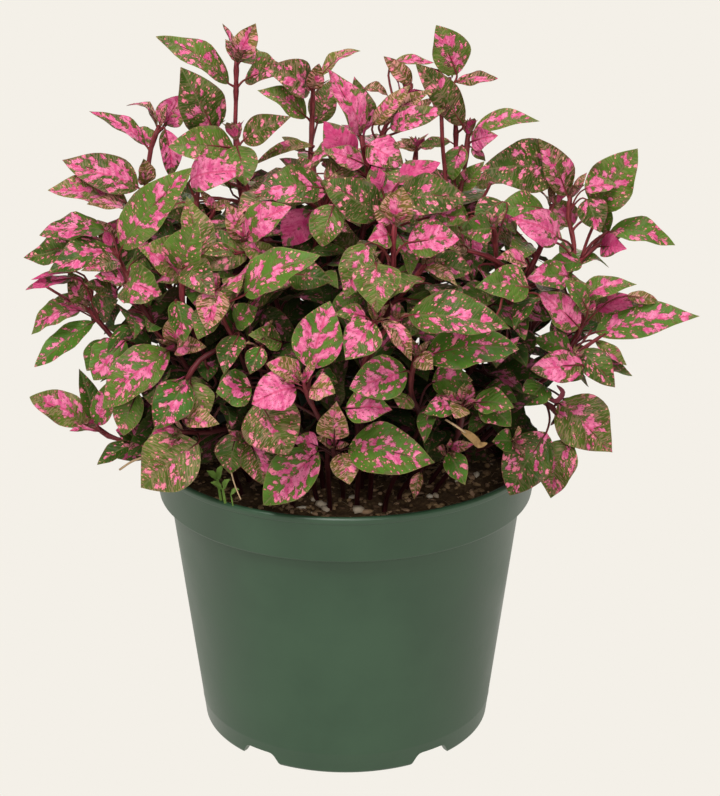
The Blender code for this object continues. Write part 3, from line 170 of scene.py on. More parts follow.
# Leaves laid one by one: shoot, foot of the blade, tip, depth of the foot, how much deeper the
# tip lies, width, tilt of the face to the sky, arch, pink share of the face, kind
LEAVES = [Leaf(*row) for row in (
    ("tall", -43.5, 262, -70.5, 280, -8, -4, 12.5, 38, .14, .35, "leaf"),
    ("tall", -37.5, 263.5, -20.5, 267, -8, -14, 10.5, 30, .12, .40, "leaf"),
    ("tall", -39, 270.5, -26, 271, -6, 10, 10, 45, .10, .15, "leaf"),
    ("tall", -41, 272.5, -45.5, 285, -6, 2, 7, 68, .06, .30, "young"),
    ("tall", -40, 272, -33, 285, -8, -3, 9.5, 5, .06, .60, "young"),
    ("collar", -41, 239.5, -20, 249.5, -22, -8, 11, 20, .12, .28, "leaf"),
    ("collar", -42, 237, -67, 237.5, -24, -10, 15, 15, .14, .14, "leaf"),
    ("collar", -41, 238, -38, 222, -26, -10, 13, 10, .14, .10, "leaf"),
    ("crest", -73.5, 238.5, -96.5, 251.5, -7, -2, 9.5, 50, .08, .75, "leaf"),
    ("crest", -71, 245, -82.5, 253.5, -4, 3, 8, 72, .30, .60, "young"),
    ("crest", -67.5, 246, -62, 257.5, -6, -4, 11.5, 10, .10, .88, "leaf"),
    ("crest", -69.5, 245, -66.5, 254.5, -9, -2, 5, 50, .06, .30, "young"),
    ("crest", -73, 238, -79.5, 245, -5, 4, 8, 30, .10, .70, "leaf"),
    ("crest", -68, 244.5, -66.5, 225.5, -12, -6, 9, 20, .12, .85, "leaf"),
    ("crest", -77, 222.5, -107.5, 232.5, -12, -4, 17.5, 34, .06, .60, "leaf"),
    ("crest", -76, 221, -76.5, 233, -16, -2, 8, 30, .08, .40, "young"),
    ("crest", -83, 215, -113.5, 220.5, -14, -6, 15.5, 42, .10, .50, "leaf"),
    ("crest", -84, 213, -99, 215, -20, -4, 9, 58, .08, .50, "young"),
    ("shield", -49.5, 243.5, -61.5, 268.5, -20, -5, 18.5, 14, .10, .26, "leaf"),
    ("shield", -59, 224.5, -38.5, 228, -34, -12, 13.5, 12, .12, .96, "leaf"),
    ("fan", -92, 204.5, -117.5, 202.5, -22, -6, 13, 44, .12, .50, "leaf"),
    ("fan", -92, 197.5, -124, 193.5, -20, 2, 16, 34, .12, .12, "leaf"),
    ("fan", -89, 195, -115, 187, -28, -12, 14, 35, .14, .50, "leaf"),
    ("fork", -104, 188, -123.5, 184.2, -12, -2, 6.5, 50, .04, .90, "under"),
    ("fork", -105, 185.5, -125, 180, -15, -6, 7, 50, .06, .85, "under"),
    ("fan", -90, 198, -95, 209, -22, -3, 8, 20, .08, .40, "young"),
    ("fan", -88, 199, -84, 211, -18, 6, 10, 30, .10, .90, "under"),
    ("fan", -86, 197.5, -58, 229.5, -38, -8, 16, 20, .10, .36, "leaf"),
    ("fan", -85, 183.5, -97, 186, -36, -8, 8, 40, .10, .80, "leaf"),
    ("fan", -87, 192, -103, 188, -32, -6, 9, 25, .12, .40, "leaf"),
    ("fan", -84, 184.5, -71, 178.5, -40, -18, 16, 0, .16, .55, "leaf"),
    ("fan", -88, 178, -101, 183, -32, -6, 9, 40, .10, .30, "leaf"),
    ("fork", -101, 174, -107, 188, -12, -4, 10, 12, .10, .35, "leaf"),
    ("fork", -105, 173, -113, 177, -10, -4, 8, 20, .18, .90, "leaf"),
    ("fork", -103, 172, -122.5, 162, -12, -4, 11, 35, .28, .55, "leaf"),
    ("fork", -98, 167.5, -122, 148.5, -14, -10, 11, 34, .02, .14, "leaf"),
    ("fork", -97, 170.5, -88, 176.5, -16, -10, 11, 10, .10, .05, "leaf"),
    ("fork", -86, 159.5, -99, 143, -34, -6, 15, 22, .12, .60, "leaf"),
    ("fork", -95, 160, -101.5, 147, -24, 2, 8.5, 30, .06, .05, "leaf"),
    ("creeper", -103, 124.5, -124.5, 136, -18, -4, 14, 20, .10, .62, "leaf"),
    ("creeper", -98.5, 121.5, -109.5, 121.5, -20, -3, 6, 58, .08, .80, "leaf"),
    ("creeper", -98, 124, -92.5, 143, -20, -2, 9, 15, .08, .60, "leaf"),
    ("creeper", -99.5, 126, -104.5, 148, -16, 3, 8.5, 25, .08, .10, "leaf"),
    ("creeper", -84, 116, -99, 107, -26, -6, 8.5, 40, .12, .10, "leaf"),
    ("creeper", -81, 118, -91, 122, -24, -2, 8, 30, .08, .60, "leaf"),
    ("saddle", -82, 138, -88, 119.5, -26, -6, 12, 18, .12, .05, "leaf"),
    ("saddle", -69, 155.5, -96, 131, -52, -10, 18, 24, .18, .52, "leaf"),
    ("saddle", -66, 158, -64, 171.5, -50, -6, 10, 15, .10, .50, "young"),
    ("saddle", -66, 156, -53.5, 157, -52, -8, 9, 30, .12, .40, "young"),
    ("leaning", -63.5, 188.5, -56, 208.5, -62, -4, 15, 14, .10, .08, "leaf"),
    ("leaning", -61, 190, -50, 177.5, -64, -12, 14, 5, .14, .30, "leaf"),
    ("leaning", -65, 188, -80, 198, -60, -8, 11, 30, .12, .35, "leaf"),
    ("leaning", -66, 176, -63, 159, -62, -8, 10, 20, .12, .40, "leaf"),
    ("riser", -50, 180.5, -54, 164, -73, -10, 12, 4, .14, .45, "young"),
    ("riser", -50, 176, -58, 159, -66, -6, 13, 20, .14, .05, "leaf"),
    ("riser", -39, 178.5, -9.5, 194.5, -76, -6, 16, 30, .14, .42, "leaf"),
    ("riser", -43, 167, -34, 173, -66, -6, 10, 20, .12, .05, "leaf"),
    ("side", -62, 143.5, -75.5, 122, -74, -10, 15, 10, .12, .35, "leaf"),
    ("side", -61, 142, -56, 126, -70, -4, 12, 15, .12, .05, "leaf"),
    ("apron", -63.5, 127, -49.5, 124.5, -77, -6, 9, 30, .10, .30, "young"),
    ("apron", -58.5, 116.5, -82, 97, -75, 2, 23, 10, .12, .12, "leaf"),
    ("apron", -66, 122, -79, 117, -62, -4, 8, 30, .10, .90, "under"),
    ("under", -38, 117, -33, 98.5, -67, -6, 14, 15, .14, .30, "leaf"),
    ("under", -43, 121, -46, 103, -62, -4, 13, 20, .14, .08, "leaf"),
    ("rosette", -34, 134.5, -22.5, 111.5, -84, -10, 22, 4, .12, .14, "leaf"),
    ("rosette", -19.5, 140, -37, 133, -92, -4, 15, 15, .22, .97, "leaf"),
    ("rosette", -17.5, 143.5, -31, 150, -88, -4, 10, 30, .14, .55, "young"),
    ("rosette", -15, 141.5, -4, 137.5, -92, -6, 11, 25, .14, .50, "young"),
    ("rosette", -14, 148, -6, 176, -88, 6, 18, 5, .10, .72, "leaf"),
    ("rosette", -12, 145, -3, 142, -84, 2, 7, 30, .10, .05, "leaf"),
    ("oval", -37, 140, -51, 138, -80, -4, 14, 10, .16, .30, "leaf"),
    ("oval", -33, 157, -37.5, 145.5, -80, -6, 8, 10, .10, .10, "leaf"),
    ("oval", -25, 159, -38, 162, -70, -8, 10, 30, .10, .02, "leaf"),
    ("star", 1, 114, 35.5, 108, -76, -8, 20, 18, .14, .36, "leaf"),
    ("star", -4.5, 118, -3.5, 134.5, -78, -2, 12, 5, .16, .35, "young"),
    ("star", -2, 112, 1.5, 98.5, -76, -8, 11, 5, .12, .35, "young"),
    ("star", -11, 113, -33, 89.5, -73, -5, 18, 15, .12, .45, "leaf"),
    ("star", -11, 115, -21.5, 117.5, -76, -4, 9, 20, .16, .92, "leaf"),
    ("knot", 0, 131, 18.5, 130.5, -84, -4, 13, 12, .14, .65, "leaf"),
    ("knot", 24, 147, 1.5, 139.5, -84, -8, 16, 5, .14, .62, "leaf"),
    ("knot", 31, 153, 68, 156, -84, -6, 18, 28, .14, .20, "leaf"),
    ("knot", 28.5, 153, 34.5, 147.5, -88, -6, 8, 5, .12, .50, "young"),
    ("knot", 26, 141, 21, 131, -74, -6, 10, 10, .14, .02, "leaf"),
    ("knot", 34, 142, 50, 143, -72, -4, 12, 10, .12, .35, "leaf"),
    ("bend", 11, 167, 0, 151.5, -95, -8, 14, 10, .14, .66, "leaf"),
    ("bend", 14, 167.5, 26, 151, -95, -4, 9, 42, .12, .50, "young"),
    ("bend", 8, 169.5, -4.5, 170.5, -92, -4, 7.5, 20, .12, .45, "leaf"),
    ("bend", 12, 191, 12.5, 171, -86, -12, 17, 2, .26, .25, "leaf"),
    ("bend", 22, 166, 29, 163, -82, -2, 8, 10, .12, .00, "leaf"),
    ("long", 24.5, 170, 64.5, 164.5, -90, -8, 19, 34, .14, .40, "leaf"),
    ("bract", 19, 208, 22, 222, -70, -4, 12, 5, .10, .50, "young"),
    ("bract", 17.5, 207.5, 10, 215, -70, -6, 8, 20, .10, .50, "young"),
    ("bract", 24, 199.5, 44, 201, -70, -6, 14, 12, .12, .78, "leaf"),
    ("bract", 18, 204, 8.5, 200.5, -72, -6, 9.5, 10, .14, .75, "leaf"),
    ("bract", 8, 199, 0, 177, -72, -6, 13, 15, .12, .36, "leaf"),
    ("thick", 31, 189.5, 43.5, 182, -68, -6, 6, 40, .10, .40, "young"),
    ("thick", 31, 191, 49, 188, -60, -4, 12, 20, .12, .00, "leaf"),
    ("speckle", 20, 216, 47, 217, -54, -4, 16, 22, .20, .24, "leaf"),
    ("speckle", 13, 210.5, -9, 224.5, -54, -4, 16, 18, .12, .03, "leaf"),
    ("speckle", 14, 221, 10, 230, -42, -2, 7, 10, .10, .90, "under"),
    ("speckle", 20, 223, 36.5, 231.5, -40, 4, 9, 30, .10, .90, "under"),
    ("wide", -7, 221, -35, 219, -46, -8, 15, 20, .20, .40, "leaf"),
    ("wide", -4, 215, -9, 198, -54, -4, 13, 15, .12, .20, "leaf"),
    ("wide", -13, 212, -24, 198, -40, -4, 13, 10, .12, .92, "under"),
    ("low_arch", -38, 201.5, -20.5, 214, -55, -6, 13, 25, .14, .82, "leaf"),
    ("low_arch", -40, 201, -45, 215, -50, -2, 9, 15, .10, .45, "young"),
    ("low_arch", -34, 188, -20, 182, -62, -6, 11, 20, .12, .05, "leaf"),
    ("low_arch", -22, 187, -5, 184, -66, -4, 12, 15, .16, .05, "leaf"),
    ("twin", -13, 260, -30.5, 268, -14, -10, 14.5, 24, .18, .50, "leaf"),
    ("twin", -13, 249, -33, 259.5, -14, -4, 11, 34, .10, .30, "leaf"),
    ("twin", -9.5, 264.5, 6, 274.5, -10, 4, 8, 58, .14, .45, "leaf"),
    ("twin", -12, 260, -9.5, 270, -14, -4, 7, 10, .08, .10, "young"),
    ("twin", -10.5, 246.5, -4.5, 264, 6, 4, 11, 10, .10, .20, "leaf"),
    ("magenta", 5.5, 241, -6.5, 268, -24, -4, 12, 34, .08, .92, "leaf"),
    ("magenta", 7, 243.5, 3.5, 265, -24, -2, 12, 8, .08, .62, "leaf"),
    ("magenta", 7, 260, 16.5, 257, -18, 2, 5, 40, .28, .15, "young"),
    ("magenta", 2, 231, -8, 247.5, -28, -2, 13, 10, .10, .93, "under"),
    ("magenta", -2, 240, -13.5, 231, -24, -4, 6, 30, .10, .80, "leaf"),
    ("magenta", 7, 231, -8, 236, -32, -4, 9, 20, .12, .78, "leaf"),
    ("magenta", 8.5, 238, 22.5, 230, -32, -6, 13, 15, .14, .78, "leaf"),
    ("magenta", 12, 231, 19, 213, -36, -8, 13, 18, .12, .30, "leaf"),
    ("bronze", 25, 262, 14.5, 272.5, -8, -2, 6.5, 10, .06, .05, "young"),
    ("bronze", 18.5, 270, 33.5, 270, -6, 2, 5, 40, .10, .80, "leaf"),
    ("bronze", 13, 246, 33, 260, -18, -4, 7, 28, .10, .30, "young"),
    ("bronze", 24, 245.5, 33.5, 256.5, -12, -2, 6, 30, .10, .05, "young"),
    ("bronze", 17, 245, 38, 252, -24, -8, 9.5, 22, .12, .62, "leaf"),
    ("bronze", 10.5, 246, 24.5, 261.5, -22, -3, 6.5, 20, .10, .45, "young"),
    ("olive", 27, 236, 16.5, 238.5, 12, 2, 5, 45, .10, .00, "young"),
    ("olive", 28, 237.5, 34, 237.5, 12, 2, 4, 30, .06, .10, "young"),
    ("crown", 42, 265.5, 34, 284.3, -2, -2, 15, 14, .06, .50, "leaf"),
    ("crown", 41, 264, 57.5, 264, -3, -6, 7, 46, .06, .35, "leaf"),
    ("crown", 44.5, 246, 26.5, 269.7, -10, -8, 11.5, 15, .08, .22, "leaf"),
    ("crown", 40, 239.5, 28, 238, 2, 4, 5.5, 40, .08, .35, "leaf"),
    ("elbow", 48.5, 243.5, 73.7, 247.5, -4, -4, 10.5, 46, .12, .34, "leaf"),
    ("elbow", 47.5, 240.5, 58, 242, -6, -12, 9, 10, .08, .95, "leaf"),
    ("elbow", 46, 240, 53.5, 231.8, -8, -4, 4.5, 30, .02, .55, "leaf"),
    ("elbow", 44, 238, 41, 224, -12, -6, 10, 20, .12, .40, "leaf"),
    ("bud", 86, 218.5, 73, 241, -16, -4, 12.5, 24, .10, .42, "leaf"),
    ("inner", 80, 229, 51, 228.5, -12, -12, 20.5, 4, .12, .22, "leaf"),
    ("bud", 96, 213, 111, 237, -16, -4, 18.5, 8, .08, .26, "leaf"),
    ("bud", 92, 217, 98, 203.5, -20, -6, 12, 12, .12, .40, "leaf"),
    ("bud", 91.5, 221, 103.5, 222.5, -18, -2, 7.5, 36, .10, .66, "leaf"),
    ("bud", 87, 206, 81, 217, -10, 4, 10, 10, .10, .50, "leaf"),
    ("flank", 101.5, 204, 127, 198.5, -12, -6, 12, 38, .20, .34, "leaf"),
    ("flank", 98, 197.5, 108.5, 197, -14, -14, 9.5, 10, .08, .97, "under"),
    ("flank", 99.5, 203, 101.5, 216, -10, 0, 7, 30, .08, .05, "leaf"),
    ("bud", 82, 201.5, 63.3, 209.5, -34, -8, 14, 12, .12, .92, "leaf"),
    ("flank", 91, 191.5, 77, 189, -24, -8, 9, 26, .10, .30, "leaf"),
    ("flank", 89, 190, 102, 189.3, -18, 2, 5.5, 62, .28, .00, "leaf"),
    ("nook", 56, 205.5, 44, 203.5, -54, -6, 11, 8, .12, .25, "leaf"),
    ("twin_rods", 71, 181.5, 50, 181.5, -54, -8, 14, 12, .14, .20, "leaf"),
    ("twin_rods", 70, 191, 58, 193, -46, -6, 8, 40, .12, .60, "young"),
    ("inner", 86, 186, 70, 185, -36, -8, 12, 16, .14, .70, "leaf"),
    ("inner", 76, 213, 58, 213, -32, -6, 13, 30, .14, .02, "leaf"),
    ("nook", 60, 216, 50, 207, -38, -4, 10, 20, .12, .05, "leaf"),
    ("stripe", 91, 165, 75, 179.5, -36, -6, 13, 20, .10, .78, "leaf"),
    ("stripe", 94, 172, 84.5, 184.5, -32, -8, 9, 30, .10, .08, "leaf"),
    ("stripe", 97.5, 163, 138, 169.7, -26, -4, 18, 38, .02, .50, "leaf"),
    ("stripe", 90, 177, 113, 182.7, -24, -6, 10.5, 35, .10, .40, "leaf"),
    ("stripe", 109, 178, 123, 175, -12, 0, 6.5, 36, .12, .10, "young"),
    ("stripe", 97, 173, 117.5, 177, -18, -4, 8.5, 28, .08, .90, "under"),
    ("stripe", 93, 170, 97, 178, -30, -4, 8, 20, .10, .50, "young"),
    ("cuff", 93, 149.5, 72.5, 147.5, -46, -6, 12.5, 8, .12, .80, "leaf"),
    ("cuff", 87, 149, 93, 143.5, -42, -6, 9, 12, .12, .25, "leaf"),
    ("cuff", 92, 155.5, 106, 140, -38, -6, 11.5, 14, .15, .12, "leaf"),
    ("stripe", 97.5, 159.5, 110.2, 149.3, -32, -4, 6.5, 40, .05, .60, "leaf"),
    ("cuff", 88, 155, 73, 160, -36, -2, 10, 20, .12, .10, "leaf"),
    ("drape", 84, 133.5, 106, 112.3, -36, -6, 22, 10, .12, .30, "leaf"),
    ("drape", 88.5, 118, 82, 92.5, -42, -5, 16.5, 18, .12, .40, "leaf"),
    ("drape", 79.5, 121, 65.5, 93.8, -52, -6, 19, 6, .12, .32, "leaf"),
    ("drape", 78, 141, 71, 132, -40, -6, 12, 10, .14, .02, "leaf"),
    ("pair", 42.5, 133, 31, 129, -82, -6, 8.5, 18, .14, .38, "leaf"),
    ("pair", 50.5, 133.5, 66.5, 131.5, -80, -4, 11, 30, .14, .22, "leaf"),
    ("pair", 53, 133, 65.5, 123.5, -77, -6, 12, 20, .14, .05, "leaf"),
    ("pair", 46, 134.5, 49.5, 142, -78, 2, 7, 10, .08, .70, "young"),
    ("pair", 43, 135.5, 35.5, 136.8, -77, -2, 5, 30, .10, .80, "leaf"),
    ("pair", 46, 132, 43, 127, -84, -6, 8, 5, .10, .10, "young"),
    ("stub", 41, 112.5, 47.7, 98.3, -68, -6, 9, 8, .12, .15, "leaf"),
    ("stub", 30, 104, 27.5, 92, -66, -2, 5, 20, .10, .30, "young"),
    ("button", 66, 117, 58, 117, -60, -4, 9, 8, .12, .10, "leaf"),
)]

# Shoots of the sides and the back, by rule: row, how many, first and last bearing from the
# right-hand side, distance of the growing tip from the middle line, its height
BACK_ROWS = (
    ("low", 8, 4, 176, 84, 142),
    ("mid", 7, 10, 170, 70, 180),
    ("high", 6, 12, 168, 42, 212),
)
BACK_STEMS = 6
OUTER_FILL_LEAVES = 154

# Spots where the background shows between the leaves: across, up and radius as seen
SIGHT_GAPS = (
    (-83, 219.5, 5), (-68, 226.5, 3), (-49, 218, 5), (-94, 213, 3.5), (-25, 235, 7), (-16, 243, 5),
    (20, 249, 3), (30, 236, 7), (50, 231, 4), (59, 217, 4), (93, 206, 3), (79, 196, 4), (81, 126, 6),
    (76, 128, 4), (72.5, 142.5, 3), (79, 164, 3.5), (88, 139, 3), (-95, 187.5, 2.5), (-83, 174, 2.5),
    (-92, 148.5, 2), (-96, 125, 3.5), (67, 252, 8), (-75, 256, 8), (0, 288, 12), (99, 191, 6),
    (76, 220.5, 4), (-112, 208, 4),
)
MOUND_MIDDLE = Vector((0.0, 0.0, 150.0))
MOUND_REACH = Vector((112.0, 116.0, 76.0))
BACK_NODE_SPACING = 16.0
BACK_LEAF_LENGTH = (27, 37)
FILL_LEAF_LENGTH = (23, 33)
NODE_SPACING = 21.0
PETIOLE_LENGTH = 7.0
STEM_SEED = 4
LEAF_SEED = 11
TRIES = 70

# Fine leaves and stems, in mm
SHEET_GAP = 0.26
VEIN_SLANT = 0.85
VEIN_CURVE = 0.4
VEIN_PAIRS = 7.0
MARK_SLANT = 0.45
BASE_TAPER = 0.72
WIDEST_AT = (0.37, 0.45)
EDGE_GREEN = 0.16
PINK_POWER = 1.8
FILL_PINK = 0.45
LEAF_YOUTH = (0.0, 0.05, 0.14, 0.34)
TOP_YOUTH = 0.26
YOUTH_FLOOR = 180.0
YOUNG_PINK = 0.6
SHADE_LEAVES = 1100
SHADE_LEAF_LENGTH = (15, 27)
SHADE_FLOOR = 107.0
# Painted shade of the leaves and stems deep inside the mound: where it begins and over what range it
# deepens
PAINTED_SHADE_EDGE = 0.92
PAINTED_SHADE_RANGE = 0.45
STALK_DROP = 6.0
STALK_DROP_SHARE = 0.7
STEM_LOOK_FOOT = 1.06
STEM_LOOK_TIP = 0.78
STALK_LOOK = 0.48
STEM_LOOK_STEP = 4.0
NODE_SWELL = 0.35
TUFT_LEAF_LENGTH = (9.0, 6.5, 4.5)
LOOK_SEED = 23

# Spread of the pattern noise
PATTERN_SPREAD = 0.098

# Fine pot, in mm
TURN_STEPS = 160
CORNER_STEPS = 4
SLOT_CORNER = 1.8
MOULD_LINE_HEIGHT = 9.0
MOULD_LINE_RISE = 0.10

# Fine soil, in mm
SOIL_RING_STEP = 1.6
SOIL_SEGMENTS = 150
SOIL_RELIEF = 1.3
CHIP_COUNT = 1500
CHIP_SIZE = (0.7, 2.4)
STONE_COUNT = 16
FIBRE_COUNT = 170
SOIL_SEED = 31

# Stones that show behind the front lip: across and up as seen, size
LIP_STONES = (
    (3, 93, 2.2), (5, 88, 3.3), (-10, 90, 2.4), (-8, 88, 1.8), (33.5, 93.5, 1.6),
    (36, 94, 1.8), (-13, 92, 1.5), (-24, 92, 1.4), (-18, 88.5, 1.6), (14, 90, 1.2),
)

# Small leaves too slight for the solid model, with the columns of the list above
SMALL_LEAVES = [Leaf(*row) for row in (
    ("bud", 86, 219, 84, 226.5, -16, 2, 3.4, 20, .10, .50, "young"),
    ("bud", 87, 219, 92, 227.5, -16, 2, 3.8, 30, .10, .40, "young"),
    ("olive", 27, 237, 21, 240.8, 12, 0, 3.0, 40, .10, .05, "young"),
    ("olive", 27.5, 237, 30.5, 241.8, 12, 0, 2.8, 40, .10, .05, "young"),
    ("magenta", -15, 236, -24, 241.5, -18, 0, 4.6, 20, .10, .20, "under"),
    ("magenta", -15, 228, -25, 233, -20, 0, 5.4, 20, .10, .30, "under"),
    ("shield", -50, 213, -55.5, 221, -40, 0, 4.0, 20, .10, .60, "young"),
    ("shield", -50, 213, -43.5, 216, -40, 0, 4.0, 20, .10, .60, "young"),
    ("twin", -12, 238, -34.5, 230.5, -18, 0, 5.0, 30, .24, .05, "leaf"),
    ("post", 43, 221, 53, 232, -10, -2, 8.0, 10, .10, .10, "leaf"),
)]

# Thin bare stalks: shoot, radius, then across, up and depth of each stop
STALKS = (
    ("fork", 0.55, ((-100, 173, -14), (-109, 177.5, -13), (-116, 182, -13))),
    ("elbow", 0.60, ((50.5, 214, -14), (53.5, 219, -12), (55.5, 223.5, -12))),
    ("shield", 0.70, ((-57, 205, -34), (-52, 209, -38), (-50, 213, -40))),
    ("stripe", 0.50, ((85.5, 150.5, -37), (92, 156, -36), (99.5, 161.5, -33))),
    ("stripe", 0.42, ((87, 150.5, -38), (94.5, 157, -36), (101.5, 162.5, -33))),
    ("stripe", 0.42, ((86.5, 152, -36), (92.5, 159, -34), (96, 164, -32))),
    ("flank", 0.60, ((91, 193.5, -18), (95, 199.5, -16), (101, 204, -13))),
    ("flank", 0.60, ((91, 193.5, -18), (93, 200.5, -17), (96.5, 210, -18))),
    ("flank", 0.50, ((91.5, 193, -18), (97, 198.5, -16), (104, 202, -13))),
    ("bud", 0.45, ((79, 200.5, -33), (84, 198, -30), (88.5, 192, -23))),
)

# Dry bits: width or radius, then stops
STRAW = (0.25, ((-46, 106, -66), (-44.5, 99, -68), (-42, 92, -70)))
TWIG = (0.45, ((-90, 105, -30), (-85, 108.5, -34), (-80, 110.5, -38)))
WITHERED_STALK = (0.42, ((39.5, 126.5, -84), (43.5, 123.8, -86), (47.5, 120.8, -86)))
WITHERED = (2.9, ((45.5, 122, -86), (49, 119.8, -86), (51.8, 117.2, -86), (53, 115.6, -85),
                  (56.2, 116.3, -84)))
CURL = (2.0, ((80, 135, -44), (83.5, 134.5, -46), (85.5, 138, -46), (83, 141, -45)))

# Seedlings by the front left lip: foot, tip and width of each small leaf
SEEDLINGS = (
    ((-49, 97, -64), (-46, 101, -66), 3.4), ((-49.5, 97, -64), (-54, 99.5, -66), 3.2),
    ((-51, 101, -62), (-48.5, 107, -64), 3.6), ((-51.5, 101, -62), (-55.5, 104.5, -64), 3.4),
    ((-46, 94.5, -66), (-42.5, 96.5, -68), 2.6),
)

BACKGROUND = (0.905, 0.871, 0.807)
SKY_STRENGTH = 0.16

# Lights: place and target in metres, size, power
KEY_LIGHT = ((-0.40, -0.90, 1.50), (0, 0, 0.17), 0.7, 25.0)
FRONT_LIGHT = ((0.15, -1.40, 0.85), (0, 0, 0.15), 0.6, 8.0)
BACK_LIGHT = ((0.25, 0.45, 1.50), (0, 0, 0.20), 0.8, 10.0)
REAR_LIGHT = ((0.35, 1.40, 0.70), (0, 0, 0.20), 0.8, 5.0)


def seen(across, up, depth):
    """Point at a depth on the sight line through a spot of the middle plane."""
    spot = Vector((across, 0.0, up))
    return EYE + (spot - EYE) * ((depth - EYE.y) / -EYE.y)


def as_seen(point):
    """Across and up of a point as it shows against the middle plane."""
    spot = EYE + (point - EYE) * (-EYE.y / (point.y - EYE.y))
    return spot.x, spot.z


def mound_at(up):
    """Half width and front depth of the mound at a seen height."""
    if up <= MOUND[0][0]:
        return MOUND[0][1], MOUND[0][2]
    for low, high in zip(MOUND, MOUND[1:]):
        if up <= high[0]:
            share = (up - low[0]) / (high[0] - low[0])
            return tuple(low[i] + (high[i] - low[i]) * share for i in (1, 2))
    return 0.0, 0.0


def behind_front(point, margin):
    """True where a point is inside the mound's outline and behind its front leaves."""
    across, up = as_seen(point)
    half_width, front = mound_at(up)
    if abs(across) > half_width or up < 112:
        return False
    bulge = math.sqrt(max(0.0, 1.0 - (across / 132.0) ** 2))
    return point.y > front * bulge + margin


def in_sight_gap(blade):
    """True where a blade would close one of the sight gaps."""
    for u in (0.1, 0.35, 0.6, 0.85, 1.0):
        for v in (-0.8, 0.0, 0.8):
            across, up = as_seen(blade_point(blade, u, v))
            if any(math.hypot(across - x, up - z) < reach for x, z, reach in SIGHT_GAPS):
                return True
    return False


def smooth_path(stops, step):
    """Smooth curve through the stops, sampled about every step."""
    count = len(stops)
    slopes = []
    for i in range(count):
        before = stops[max(0, i - 1)]
        after = stops[min(count - 1, i + 1)]
        reach = (stops[i] - before).length + (after - stops[i]).length
        slopes.append((after - before) / reach)
    samples = [stops[0].copy()]
    for i in range(count - 1):
        start, end = stops[i], stops[i + 1]
        reach = (end - start).length
        pieces = max(1, round(reach / step))
        for k in range(1, pieces + 1):
            t = k / pieces
            t2, t3 = t * t, t * t * t
            samples.append(
                start * (2 * t3 - 3 * t2 + 1) + end * (3 * t2 - 2 * t3)
                + slopes[i] * reach * (t3 - 2 * t2 + t) + slopes[i + 1] * reach * (t3 - t2))
    return samples


def spots_down(path, step):
    """Spots down a path from its tip, with the way up and the step just taken."""
    for i in range(len(path) - 1, 0, -1):
        upper, lower = path[i], path[i - 1]
        reach = (upper - lower).length
        ahead = (upper - lower) / reach
        pieces = max(1, round(reach / step))
        for k in range(pieces):
            spot = upper if k == 0 else upper.lerp(lower, k / pieces)
            yield spot, ahead, reach / pieces


def tube_mesh(samples, radii, sides):
    """Closed tube along the samples."""
    points, faces = [], []
    helper = Vector((1, 0, 0))
    for i, spot in enumerate(samples):
        ahead = samples[min(i + 1, len(samples) - 1)] - samples[max(i - 1, 0)]
        ahead.normalize()
        helper = (helper - ahead * helper.dot(ahead)).normalized()
        third = ahead.cross(helper)
        for k in range(sides):
            turn = 2 * math.pi * k / sides
            points.append(spot + (helper * math.cos(turn) + third * math.sin(turn)) * radii[i])
    for i in range(len(samples) - 1):
        for k in range(sides):
            a, b = i * sides + k, i * sides + (k + 1) % sides
            faces.append((a, b, b + sides, a + sides))
    faces.append(tuple(reversed(range(sides))))
    last = (len(samples) - 1) * sides
    faces.append(tuple(range(last, last + sides)))
    return points, faces


def outline_share(u):
    """Half width of a blade along its length, as a share of the greatest."""
    return (max(0.0, u) ** 0.62) * (max(0.0, 1.0 - u) ** 1.02) / 0.3352


def blade_axes(blade):
    """Length, direction and cross direction of a blade."""
    along = blade.tip - blade.base
    length = along.length
    along = along / length
    return length, along, blade.normal.cross(along)


def blade_point(blade, u, v):
    """Point of the upper face: u from foot to tip, v from -1 to 1 across."""
    length, along, across = blade_axes(blade)
    half = 0.5 * blade.width * outline_share(u)
    lift = blade.arch * length * math.sin(math.pi * u) + BLADE_FOLD * half * abs(v)
    return blade.base + along * (length * u) + across * (half * v) + blade.normal * lift


def blade_stations(length, kind):
    """Shares of the length at which a blade gets a cross section."""
    return (0.16, 0.42, 0.72) if length > LARGE_LEAF and kind != "fill" else (0.26, 0.62)


def is_plain(blade, length):
    """Small leaves and those set by rule get a flat face and a keel."""
    return blade.kind == "fill" or length < SMALL_LEAF


def ring_between(near, far):
    """Triangles between two rings of three or four points, foot side first."""
    count = len(near)
    if count < len(far):
        return [(near[0], far[0], far[1]), (near[0], far[1], near[1]), (near[1], far[1], far[2]),
                (near[1], far[2], near[2]), (near[2], far[2], far[3]), (near[2], far[3], far[0]),
                (near[2], far[0], near[0])]
    faces = []
    for i in range(count):
        k = (i + 1) % count
        if count == 4 and i >= 2:
            faces += [(near[i], far[i], near[k]), (near[k], far[i], far[k])]
        else:
            faces += [(near[i], far[i], far[k]), (near[i], far[k], near[k])]
    return faces


